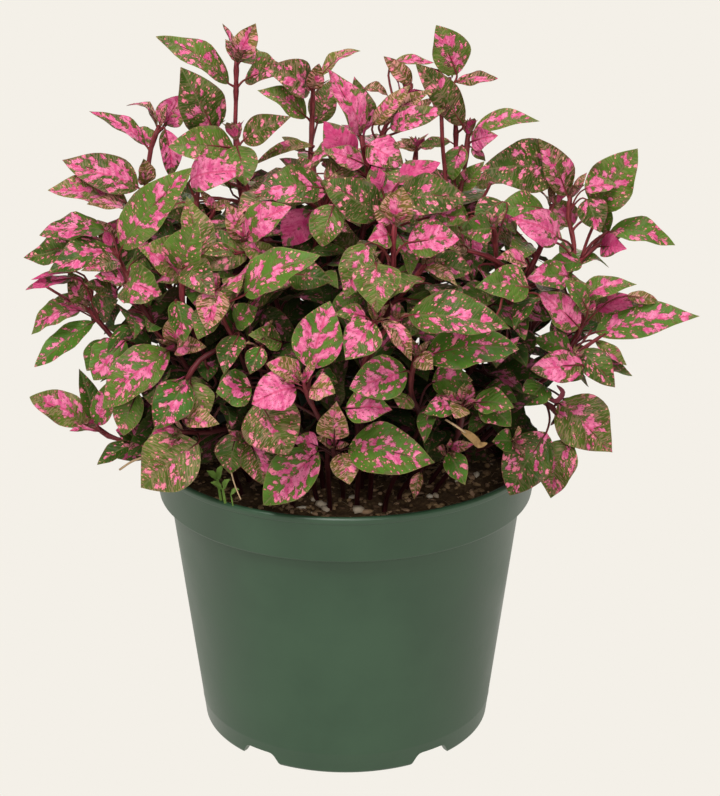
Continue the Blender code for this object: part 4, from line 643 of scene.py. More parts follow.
def blade_mesh(blade, spare, stalk=True):
    """Closed low blade with its stalk; spare swells it for clearance tests."""
    length, along, across = blade_axes(blade)
    half_thick = BLADE_THICKNESS / 2 + spare
    girth = PETIOLE_RADIUS + spare
    points, rings = [], []
    run = (blade.base - blade.foot).normalized() if stalk else along
    ends = ((blade.foot, run, PETIOLE_ROOT + spare), (blade.base, run + along, girth))
    for spot, ahead, reach in ends if stalk else ends[1:]:
        turn = along.rotation_difference(ahead)
        wide = turn @ across
        deep = turn @ -blade.normal
        start = len(points)
        points += [spot - wide * reach - deep * reach * 0.6,
                   spot + wide * reach - deep * reach * 0.6, spot + deep * reach]
        rings.append((start, start + 1, start + 2))
    plain = is_plain(blade, length)
    for u in blade_stations(length, blade.kind):
        start = len(points)
        left = blade_point(blade, u, -1.0) - across * spare
        right = blade_point(blade, u, 1.0) + across * spare
        middle = blade_point(blade, u, 0.0)
        low = middle - blade.normal * half_thick
        if plain:
            sink = blade.normal * (BLADE_FOLD * 0.5 * (right - left).length * 0.5 - half_thick * 0.5)
            points += [left - sink, right - sink, low]
            rings.append((start, start + 1, start + 2))
            continue
        points += [left, middle + blade.normal * half_thick, right, low]
        rings.append((start, start + 1, start + 2, start + 3))
    points.append(blade.tip + along * spare)
    peak = len(points) - 1
    faces = [tuple(reversed(rings[0]))]
    for near, far in zip(rings, rings[1:]):
        faces += ring_between(near, far)
    last = rings[-1]
    for i in range(len(last)):
        faces.append((last[i], peak, last[(i + 1) % len(last)]))
    return points, faces


class Plant:
    """Grows stems and leaves that keep clear of one another."""

    def __init__(self, shoots):
        self.shoots = shoots
        self.stems = list(dict.fromkeys(shoot.stem for shoot in shoots))
        self.stem_of = {shoot.name: shoot.stem for shoot in shoots}
        self.roots = stem_roots(self.stems, shoots)
        self.items = []
        self.lows = []
        self.highs = []
        self.paths = {}
        self.tubes = []
        self.blades = []

    def note(self, owner, kind, mesh, bare=None):
        """Remembers a piece's surface; bare is a leaf without its stalk."""
        tree = BVHTree.FromPolygons(*mesh)
        bare_tree = BVHTree.FromPolygons(*bare) if bare else tree
        self.items.append((owner, kind, tree, bare_tree))
        self.lows.append([min(p[i] for p in mesh[0]) for i in range(3)])
        self.highs.append([max(p[i] for p in mesh[0]) for i in range(3)])

    def near(self, mesh):
        """Pieces whose bounds meet those of a mesh."""
        low = [min(p[i] for p in mesh[0]) for i in range(3)]
        high = [max(p[i] for p in mesh[0]) for i in range(3)]
        for item, item_low, item_high in zip(self.items, self.lows, self.highs):
            if (item_low[0] <= high[0] and item_high[0] >= low[0]
                    and item_low[1] <= high[1] and item_high[1] >= low[1]
                    and item_low[2] <= high[2] and item_high[2] >= low[2]):
                yield item

    def clashes(self, owner, whole, bare=None, close=None):
        """Number of crossings with other stems' pieces, then with the stem's own leaves."""
        whole_tree = BVHTree.FromPolygons(*whole)
        bare_tree = BVHTree.FromPolygons(*bare) if bare else None
        close_tree = BVHTree.FromPolygons(*close) if close else None
        others, own = 0, 0
        for item_owner, kind, tree, item_bare in self.near(whole):
            if item_owner != owner:
                others += bool(whole_tree.overlap(tree))
            elif bare:
                own += bool(bare_tree.overlap(tree))
                if kind == "leaf":
                    own += bool(close_tree.overlap(item_bare))
        return others, own

    def grow_stems(self):
        """Lays every shoot's path, drifting a stem's fork until it is clear of the others."""
        rng = random.Random(STEM_SEED)
        for stem in self.stems:
            own = [shoot for shoot in self.shoots if shoot.stem == stem]
            best = None
            for attempt in range(TRIES):
                spread = 18.0 * attempt / TRIES
                drift = Vector([rng.uniform(-1, 1) * spread for _ in range(3)])
                tubes = stem_tubes(own, self.roots[stem], drift)
                score = sum(self.clashes(stem, tube_mesh(path, [r + 0.5 for r in radii], 4))[0]
                            for path, radii in tubes.values())
                if best is None or score < best[0]:
                    best = (score, tubes)
                if score == 0:
                    break
            for name, (path, radii) in best[1].items():
                self.paths[name] = path
                self.tubes.append((stem, name, path, radii))
                self.note(stem, "stem", tube_mesh(path, radii, 4))

    def foot_on(self, shoot, base):
        """Spot on the shoot that a stalk to the base grows from."""
        path = list(self.paths[shoot])
        path[-1] = path[-1] + (path[-2] - path[-1]).normalized() * FOOT_SINK
        best = None
        for start, end in zip(path[1:], path[2:]):
            for k in range(5):
                spot = start.lerp(end, k / 4)
                cost = (spot - base).length + 0.7 * max(0.0, spot.z - base.z + 2.0)
                if best is None or cost < best[0]:
                    best = (cost, spot)
        return best[1]

    def try_blade(self, blade):
        whole = blade_mesh(blade, CLEARANCE)
        bare = blade_mesh(blade, OWN_CLEARANCE, stalk=False)
        close = blade_mesh(blade, OWN_CLEARANCE)
        return self.clashes(self.stem_of[blade.shoot], whole, bare, close)

    def keep(self, blade):
        self.blades.append(blade)
        self.note(self.stem_of[blade.shoot], "leaf", blade_mesh(blade, 0.0),
                  blade_mesh(blade, 0.0, stalk=False))

    def settle(self, candidates, must_stay):
        """Keeps the first candidate blade that is clear of everything."""
        best = None
        for blade in candidates:
            others, own = self.try_blade(blade)
            if others == 0 and (best is None or own < best[0]):
                best = (own, blade)
            if others == 0 and own == 0:
                break
        if best and (must_stay or best[0] == 0):
            self.keep(best[1])

    def lay_leaves(self):
        """Lays the leaves of the list, largest first."""
        rng = random.Random(LEAF_SEED)
        order = sorted(LEAVES, key=lambda row: -row.width * math.hypot(
            row.tip_x - row.base_x, row.tip_z - row.base_z))
        for row in order:
            self.settle(self.laid_candidates(row, rng), must_stay=True)

    def laid_candidates(self, row, rng):
        """Blades of one listed leaf, straying further in depth, tilt and size at each try."""
        for attempt in range(TRIES):
            reach = attempt / TRIES
            depth = row.depth + rng.uniform(-1, 1) * 12 * reach
            deeper = row.deeper + rng.uniform(-1, 1) * 18 * reach
            tilt = row.tilt + rng.uniform(-1, 1) * 35 * reach
            size = 1.0 - 0.35 * reach * rng.random()
            base = seen(row.base_x, row.base_z, depth)
            tip = seen(row.tip_x, row.tip_z, depth + deeper)
            tip = base + (tip - base) * (1.0 - (1.0 - size) * 0.5)
            foot = self.foot_on(row.shoot, base)
            if (base - foot).length < 2.5:
                base = foot + (tip - foot).normalized() * 2.5
            yield Blade(row.shoot, foot, base, tip, face_normal(base, tip, tilt),
                        row.width * size, row.arch, row.pink, row.kind)

    def fill_leaves(self):
        """Pairs of leaves down every shoot, each pair turned a quarter from the last."""
        rng = random.Random(LEAF_SEED + 1)
        for stem, name, path, radii in self.tubes:
            back = name.startswith("back")
            lengths = BACK_LEAF_LENGTH if back else FILL_LEAF_LENGTH
            spacing = BACK_NODE_SPACING if back else NODE_SPACING
            travelled = 0.0 if back else -10.0
            turn = rng.uniform(0, math.pi)
            sunk = path[:-1] + [path[-1] + (path[-2] - path[-1]).normalized() * FOOT_SINK]
            for spot, ahead, reach in spots_down(sunk, 2.0):
                travelled += reach
                if travelled < spacing and not (back and spot is sunk[-1]):
                    continue
                if spot.z < SOIL_TOP + 16:
                    break
                travelled = 0.0
                turn += math.pi / 2
                for side in (0.0, math.pi):
                    row = (name, spot, ahead, turn + side, back)
                    self.settle(self.rule_candidates(row, lengths, rng), must_stay=False)

    def rule_candidates(self, row, lengths, rng):
        """Blades that reach out of a shoot, straying further round it at each try."""
        name, foot, ahead, turn, back = row
        helper = ahead.orthogonal().normalized()
        for attempt in range(TRIES // 2):
            reach = 2.0 * attempt / TRIES
            bearing = turn + rng.uniform(-1, 1) * 1.1 * reach
            side = Matrix.Rotation(bearing, 3, ahead) @ helper
            outward = Vector((foot.x, foot.y, 0.0))
            outward = outward.normalized() if outward.length > 1 else Vector((0, 1, 0))
            rise = rng.uniform(-0.25, 0.35)
            along = (side + outward * 0.45 + ahead * 0.35 + Vector((0, 0, rise))).normalized()
            length = rng.uniform(*lengths) * (1.0 - 0.3 * reach)
            base = foot + along * PETIOLE_LENGTH * rng.uniform(0.7, 1.2)
            along = (along + Vector((0, 0, -0.28)) + outward * 0.15).normalized()
            tip = base + along * length
            if not behind_front(tip, 14) or not behind_front(base, 14):
                continue
            face = Vector((0, 0, 1)) + outward * 0.35 + side * rng.uniform(-0.3, 0.3)
            normal = (face - along * face.dot(along)).normalized()
            width = length * rng.uniform(0.46, 0.56)
            blade = Blade(name, foot, base, tip, normal, width, 0.13,
                          rng.choice((0.05, 0.2, 0.35, 0.5, 0.7)), "fill")
            if not in_sight_gap(blade):
                yield blade


def face_normal(base, tip, tilt):
    """Normal of a blade that faces the eye point, tilted to the sky by some degrees."""
    along = (tip - base).normalized()
    to_eye = EYE - base
    face = (to_eye - along * to_eye.dot(along)).normalized()
    side = along.cross(face)
    if (side.z if abs(side.z) > 0.05 else side.x) < 0:
        side = -side
    angle = math.radians(tilt)
    return face * math.cos(angle) + side * math.sin(angle)


def back_shoots():
    """Shoots of the sides and the back, in rows round the pot."""
    rng = random.Random(STEM_SEED + 7)
    shoots = []
    for row, count, first, last, distance, height in BACK_ROWS:
        for k in range(count):
            share = k / (count - 1)
            bearing = math.radians(first + (last - first) * share + rng.uniform(-4, 4))
            reach = distance * rng.uniform(0.93, 1.05)
            tip = Vector((math.cos(bearing) * reach, math.sin(bearing) * reach,
                          height + rng.uniform(-6, 6)))
            lower = Vector((tip.x * 0.8, tip.y * 0.8, 104 + (tip.z - 104) * 0.66))
            stem = "back" + str(1 + min(BACK_STEMS - 1, int(share * BACK_STEMS)))
            shoots.append(Shoot(stem, "back_" + row + str(k + 1), (tip, lower)))
    return shoots


def front_shoots():
    """Shoots laid from the eye point, as points in space."""
    return [Shoot(shoot.stem, shoot.name, tuple(seen(*stop) for stop in shoot.stops))
            for shoot in SHOOTS]


def stem_roots(stems, shoots):
    """Where each leafy stem leaves the soil, pushed apart from its neighbours."""
    roots = {}
    for stem in stems:
        lows = [shoot.stops[-1] for shoot in shoots if shoot.stem == stem]
        middle = sum(lows, Vector()) / len(lows)
        spot = Vector((middle.x, middle.y, 0.0)) * 0.5
        if spot.length > 54:
            spot *= 54 / spot.length
        roots[stem] = spot
    for _ in range(60):
        for one in stems:
            for two in stems:
                gap = roots[one] - roots[two]
                if one < two and gap.length < 10.5:
                    push = gap.normalized() * (10.5 - gap.length) * 0.5
                    roots[one] = roots[one] + push
                    roots[two] = roots[two] - push
        for stem in stems:
            if roots[stem].length > 60:
                roots[stem] = roots[stem] * (60 / roots[stem].length)
    return roots


def stem_tubes(own, root, drift):
    """Paths and radii of a leafy stem's shoots; the first one runs from the soil."""
    lows = [shoot.stops[-1] for shoot in own]
    middle = sum(lows, Vector()) / len(lows)
    bottom = Vector((root.x, root.y, SOIL_TOP - HOLE_DEPTH + 0.6))
    collar = Vector((root.x, root.y, SOIL_TOP + 1.5))
    fork = collar.lerp(middle, 0.42) + Vector((0, 0, 2.0)) + drift * 0.5
    fork.z = max(fork.z, SOIL_TOP + 5.0)
    tubes = {}
    for i, shoot in enumerate(own):
        upper = list(reversed(shoot.stops))
        stops = [bottom, collar, fork] if i == 0 else [fork]
        if len(own) > 1 and i:
            stops.append(fork.lerp(upper[0], 0.5) + drift * 0.25)
        path = smooth_path(stops + upper, STEM_STEP)
        thick = STEM_FOOT_RADIUS if i == 0 else STEM_FOOT_RADIUS * 0.8
        radii = [thick + (STEM_TIP_RADIUS - thick) * k / (len(path) - 1) for k in range(len(path))]
        tubes[shoot.name] = (path, radii)
    return tubes


def inside_box(spot):
    """The spot in metres, held inside the box of the solid model."""
    return [min(high, max(low, value * MM)) for low, value, high in zip(CAD_BOX[0], spot, CAD_BOX[1])]


class Piece:
    """Points, faces and values of one object while it is put together."""

    def __init__(self):
        self.points = []
        self.faces = []
        self.slots = []
        # tone keeps the share of painted shade, then a random value of each leaf
        self.values = {"vein": [], "face": [], "look": [], "tone": []}

    def add(self, points, faces, slot, **values):
        start = len(self.points)
        self.points += [tuple(point) for point in points]
        self.faces += [tuple(start + i for i in face) for face in faces]
        self.slots += [slot] * len(faces)
        for name, kept in self.values.items():
            kept += values.get(name) or [(0.0, 0.0, 0.0)] * len(points)

    def build(self, name, materials):
        mesh = bpy.data.meshes.new(name)
        mesh.from_pydata([inside_box(point) for point in self.points], [], self.faces)
        for material in materials:
            mesh.materials.append(material)
        mesh.polygons.foreach_set("material_index", self.slots)
        mesh.polygons.foreach_set("use_smooth", [True] * len(self.faces))
        for key, kept in self.values.items():
            layer = mesh.attributes.new(key, "FLOAT_VECTOR", "POINT")
            layer.data.foreach_set("vector", [number for row in kept for number in row])
        mesh.update()
        thing = bpy.data.objects.new(name, mesh)
        bpy.context.scene.collection.objects.link(thing)
        return thing


def pattern_level(share):
    """Level above which the pattern noise covers that share of a leaf."""
    share = min(0.985, max(0.015, share))
    return 0.5 - NormalDist().inv_cdf(share) * PATTERN_SPREAD


def shade_at(spot):
    """How deep inside the mound a spot lies, from 0 to 1: the share of painted shade given to the fill
    leaves and stems there.
    """
    reach = spot - MOUND_MIDDLE
    out = sum((reach[i] / MOUND_REACH[i]) ** 2 for i in range(3))
    return min(1.0, max(0.0, (PAINTED_SHADE_EDGE - out) / PAINTED_SHADE_RANGE))


def leaf_outline(u, peak):
    """Half width of a fine leaf along its length, as a share of the greatest."""
    behind = BASE_TAPER * (1 - peak) / peak
    most = peak ** BASE_TAPER * (1 - peak) ** behind
    return u ** BASE_TAPER * (1 - u) ** behind / most


def add_leaf(piece, blade, rng, cells):
    """A thin leaf with an upper and a lower face, close to the blade of the solid model."""
    along_cells, across_cells = cells
    length, along, across = blade_axes(blade)
    widest = blade.width / 2
    peak = rng.uniform(*WIDEST_AT)
    seed = rng.uniform(0, 50)
    sway = rng.uniform(-0.04, 0.04) * length
    waves = rng.uniform(1.2, 2.6)
    wave_start = rng.uniform(0, 2 * math.pi)
    wave_size = rng.uniform(0.04, 0.10) * blade.width
    dent = rng.uniform(-0.025, 0.040)
    youth = {"young": 0.85, "under": 0.1, "tuft": 1.0}.get(blade.kind, rng.choice(LEAF_YOUTH))
    youth = min(1.0, youth + TOP_YOUTH * max(0.0, blade.base.z - YOUTH_FLOOR) / 100)
    keep = {"fill": FILL_PINK, "young": YOUNG_PINK}.get(blade.kind, 1.0)
    level = pattern_level(blade.pink ** PINK_POWER * keep)
    # Painted shade: fill leaves deep inside the mound carry a share of darkening, kept in tone beside a
    # random value of the leaf
    dark = shade_at((blade.base + blade.tip) / 2) if blade.kind == "fill" else 0.0
    tone = [(dark, rng.random(), 0.0)] * ((along_cells + 1) * (across_cells + 1))
    points, lower, vein, face, levels = [], [], [], [], []
    for i in range(along_cells + 1):
        share = i / along_cells
        u = 0.004 + 0.992 * (0.45 * share + 0.55 * (1 - math.cos(math.pi * share)) / 2)
        half = widest * leaf_outline(u, peak)
        for j in range(across_cells + 1):
            v = 2 * j / across_cells - 1
            side = half * v
            crease = math.sqrt(v * v + 0.006) - 0.077
            lift = blade.arch * length * math.sin(math.pi * u) + BLADE_FOLD * half * crease
            wave = math.sin(2 * math.pi * waves * u + wave_start + (1.1 if v > 0 else 0))
            lift += wave_size * wave * v * v * math.sin(math.pi * u)
            lift += dent * length * math.sin(2 * math.pi * u)
            spot = (blade.base + along * (length * u)
                    + across * (side + sway * math.sin(math.pi * u)) + blade.normal * lift)
            points.append(spot)
            lower.append(spot - blade.normal * SHEET_GAP * (1 - v * v) * min(1.0, half))
            start = length * u - VEIN_SLANT * abs(side) - VEIN_CURVE * side * side / widest
            vein.append((length * u - MARK_SLANT * abs(side), side, seed))
            face.append(((1 - abs(v)) * half, VEIN_PAIRS * start / length, abs(side)))
            centre = math.sin(math.pi * u) ** 0.5 * (1 - v * v)
            levels.append(level + EDGE_GREEN * (0.62 - centre))
    row = across_cells + 1
    quads = [(i * row + j, i * row + j + 1, (i + 1) * row + j + 1, (i + 1) * row + j)
             for i in range(along_cells) for j in range(across_cells)]
    upper_first = blade_side(points, quads[len(quads) // 2 + across_cells // 2], blade.normal)
    turned_quads = [tuple(reversed(quad)) for quad in quads]
    top, bottom = (quads, turned_quads) if upper_first else (turned_quads, quads)
    look = [(value, youth, 0.0) for value in levels]
    look_under = [(value, youth, 1.0) for value in levels]
    if blade.kind == "under":
        look, look_under = look_under, look
    piece.add(points, top, 0, vein=vein, face=face, look=look, tone=tone)
    piece.add(lower, bottom, 0, vein=vein, face=face, look=look_under, tone=tone)


def blade_side(points, quad, normal):
    """True where a face with this order of corners faces along the normal."""
    a, b, c = (points[i] for i in quad[:3])
    return (b - a).cross(c - b).dot(normal) > 0


def add_tube(piece, samples, radii, sides, slot, tint):
    """A closed round tube along the samples, with its length and turn kept for the look."""
    points, faces = tube_mesh(samples, radii, sides)
    travelled, vein, look, tone = 0.0, [], [], []
    for i, spot in enumerate(samples):
        travelled += (spot - samples[i - 1]).length if i else 0.0
        for k in range(sides):
            vein.append((travelled, 6.0 * k / sides, tint[1]))
            look.append((tint[0], i / (len(samples) - 1), 0.0))
            # Painted shade: each ring of the tube carries how deep inside the mound it lies
            tone.append((shade_at(spot), 0.0, 0.0))
    piece.add(points, faces, slot, vein=vein, look=look, tone=tone)


def nearest_on(path, spot):
    """Nearest spot on a path, with its index."""
    best = None
    for i, (start, end) in enumerate(zip(path, path[1:])):
        line = end - start
        share = min(1.0, max(0.0, (spot - start).dot(line) / line.length_squared))
        place = start + line * share
        gap = (place - spot).length
        if best is None or gap < best[0]:
            best = (gap, place, i, line.normalized())
    return best


def stalk_foot(path, blade):
    """Spot where the stalk of a blade leaves the stem, a little below the blade."""
    gap, spot, index, ahead = nearest_on(path, blade.foot)
    drop = min(STALK_DROP, STALK_DROP_SHARE * (blade.base - spot).length)
    while index >= 0 and drop > 0:
        step = (path[index] - spot).length
        spot = spot.lerp(path[index], min(1.0, drop / max(step, 0.001)))
        drop -= step
        index -= 1
    return spot, ahead


def stalk_path(foot, ahead, base, along):
    """Curve from the stem to the foot of a blade, leaving the one and meeting the other."""
    reach = (base - foot).length
    run = (base - foot) / max(reach, 0.01)
    leave = (run * 0.7 + ahead * 0.5).normalized() * reach
    meet = (along * 0.8 + run * 0.4).normalized() * reach
    samples = []
    for k in range(7):
        t = k / 6
        t2, t3 = t * t, t * t * t
        samples.append(foot * (2 * t3 - 3 * t2 + 1) + base * (3 * t2 - 2 * t3)
                       + leave * (t3 - 2 * t2 + t) + meet * (t3 - t2))
    return samples


def add_stalk(piece, blade, path, rng):
    """Stalk of a leaf and the rib that carries on under its blade."""
    length, along, across = blade_axes(blade)
    foot, ahead = stalk_foot(path, blade)
    samples = stalk_path(foot, ahead, blade.base, along)
    slim = 0.75 if length < SMALL_LEAF else 1.0
    radii = [STALK_LOOK * slim * (1.15 - 0.3 * k / 6) for k in range(7)]
    for k in range(1, 6):
        u = 0.72 * k / 5
        under = blade_point(blade, u, 0.0) - blade.normal * 0.2
        samples.append(under)
        radii.append(STALK_LOOK * slim * (0.8 - 0.6 * k / 5))
    add_tube(piece, samples, radii, 5, 1, (rng.uniform(0.3, 1.0), rng.uniform(0, 50)))


def add_stem(piece, stops, blades, first, rng):
    """Round stem through the stops, a little swollen where leaves leave it."""
    path = smooth_path(stops, STEM_LOOK_STEP)
    feet = [stalk_foot(path, blade)[0] for blade in blades]
    foot = STEM_LOOK_FOOT if first else STEM_LOOK_FOOT * 0.75
    radii = []
    for i, spot in enumerate(path):
        share = i / (len(path) - 1)
        swell = max([math.exp(-((spot - other).length / 2.2) ** 2) for other in feet] or [0.0])
        radii.append(foot + (STEM_LOOK_TIP - foot) * share + NODE_SWELL * swell)
    add_tube(piece, path, radii, 8, 1, (rng.uniform(0.0, 0.7), rng.uniform(0, 50)))
    return path


def tuft_blades(shoot, path, rng):
    """Small new leaves in crossed pairs round a growing tip."""
    ahead = (path[-1] - path[-2]).normalized()
    helper = ahead.orthogonal().normalized()
    turn = rng.uniform(0, math.pi)
    for level, size in enumerate(TUFT_LEAF_LENGTH):
        turn += math.pi / 2
        spread = (1.0, 0.62, 0.3)[level]
        foot = path[-1] - ahead * (1.8 - 0.9 * level)
        for side in (0.0, math.pi):
            out = Matrix.Rotation(turn + side, 3, ahead) @ helper
            along = (out * spread + ahead).normalized()
            length = size * rng.uniform(0.8, 1.15)
            base = foot + along * 1.4
            normal = (ahead - along * ahead.dot(along)).normalized() if level < 2 else out
            normal = (normal - along * normal.dot(along)).normalized()
            yield Blade(shoot, foot, base, base + along * length, normal, length * 0.46, 0.1,
                        rng.choice((0.2, 0.4, 0.7)), "tuft")


def add_slight_parts(piece, shoot, path, rng):
    """Leaves and bare stalks of a shoot that are too slight for the solid model."""
    for row in SMALL_LEAVES:
        if row.shoot == shoot:
            base = seen(row.base_x, row.base_z, row.depth)
            tip = seen(row.tip_x, row.tip_z, row.depth + row.deeper)
            foot = nearest_on(path, base)[1]
            blade = Blade(shoot, foot, base, tip, face_normal(base, tip, row.tilt),
                          row.width, row.arch, row.pink, row.kind)
            add_leaf(piece, blade, rng, (8, 6))
            add_stalk(piece, blade, path, rng)
    for name, radius, stops in STALKS:
        if name == shoot:
            stalk = smooth_path([seen(*stop) for stop in stops], 2.0)
            add_tube(piece, stalk, [radius] * len(stalk), 6, 1, (0.4, rng.uniform(0, 50)))


def dress_stem(stem, plant, materials):
    """The fine piece that stands for one leafy stem."""
    piece = Piece()
    rng = random.Random(stem + str(LOOK_SEED))
    fine = {}
    for owner, name, path, radii in plant.tubes:
        if owner == stem:
            leaves = [blade for blade in plant.blades if blade.shoot == name]
            fine[name] = add_stem(piece, path, leaves, not fine, rng)
    own = [blade for blade in plant.blades if plant.stem_of[blade.shoot] == stem]
    for blade in own:
        length = (blade.tip - blade.base).length
        cells = (16, 10) if blade.kind != "fill" and length > SMALL_LEAF else (11, 8)
        add_leaf(piece, blade, rng, cells)
        add_stalk(piece, blade, fine[blade.shoot], rng)
    for name, path in fine.items():
        for blade in tuft_blades(name, path, rng):
            add_leaf(piece, blade, rng, (7, 6))
        add_slight_parts(piece, name, path, rng)
    thing = piece.build("fine_" + stem, materials)
    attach(thing, "root")
    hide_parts("leafy_stem_" + stem)
    return thing


class Shader:
    """A material's node tree, with short calls for the nodes used here."""

    def __init__(self, name):
        self.material = bpy.data.materials.new(name)
        self.material.use_nodes = True
        self.tree = self.material.node_tree
        self.out = self.tree.nodes["Principled BSDF"]

    def set(self, socket, value):
        """Links a node's output to a shader socket, or sets a plain value on it."""
        self.link(value, self.out.inputs[socket])

    def link(self, value, socket):
        if isinstance(value, bpy.types.NodeSocket):
            self.tree.links.new(value, socket)
        elif isinstance(value, tuple) and socket.type == "RGBA":
            socket.default_value = (*value[:3], 1.0)
        else:
            socket.default_value = value

    def node(self, kind, **settings):
        made = self.tree.nodes.new(kind)
        for key, value in settings.items():
            setattr(made, key, value)
        return made

    def math(self, operation, first, second=0.0, third=0.0, clamp=False):
        made = self.node("ShaderNodeMath", operation=operation, use_clamp=clamp)
        for value, socket in zip((first, second, third), made.inputs):
            self.link(value, socket)
        return made.outputs[0]

    def vector(self, x, y, z):
        made = self.node("ShaderNodeCombineXYZ")
        for value, socket in zip((x, y, z), made.inputs):
            self.link(value, socket)
        return made.outputs[0]

    def parts(self, name):
        """Three numbers of a vertex value."""
        kept = self.node("ShaderNodeAttribute", attribute_name=name)
        split = self.node("ShaderNodeSeparateXYZ")
        self.link(kept.outputs["Vector"], split.inputs[0])
        return split.outputs[0], split.outputs[1], split.outputs[2]

    def noise(self, place, scale=1.0, detail=2.0, roughness=0.5):
        made = self.node("ShaderNodeTexNoise")
        self.link(place, made.inputs["Vector"])
        self.link(scale, made.inputs["Scale"])
        self.link(detail, made.inputs["Detail"])
        self.link(roughness, made.inputs["Roughness"])
        return made.outputs["Fac"]

    def cells(self, place):
        """Distance to the nearest cell middle and that cell's own colour."""
        made = self.node("ShaderNodeTexVoronoi", voronoi_dimensions="2D")
        self.link(place, made.inputs["Vector"])
        self.link(1.0, made.inputs["Scale"])
        return made.outputs["Distance"], made.outputs["Color"]

    def ramp(self, value, low, high, to_low=0.0, to_high=1.0, smooth=True):
        made = self.node("ShaderNodeMapRange", clamp=True,
                         interpolation_type="SMOOTHSTEP" if smooth else "LINEAR")
        for number, socket in zip((value, low, high, to_low, to_high), made.inputs):
            self.link(number, socket)
        return made.outputs[0]

    def mix(self, share, first, second, blend="MIX"):
        made = self.node("ShaderNodeMix", data_type="RGBA", blend_type=blend)
        self.link(share, made.inputs[0])
        self.link(first, made.inputs[6])
        self.link(second, made.inputs[7])
        return made.outputs[2]

    def bump(self, height, strength, depth):
        made = self.node("ShaderNodeBump")
        self.link(strength, made.inputs["Strength"])
        self.link(depth, made.inputs["Distance"])
        self.link(height, made.inputs["Height"])
        self.link(made.outputs[0], self.out.inputs["Normal"])


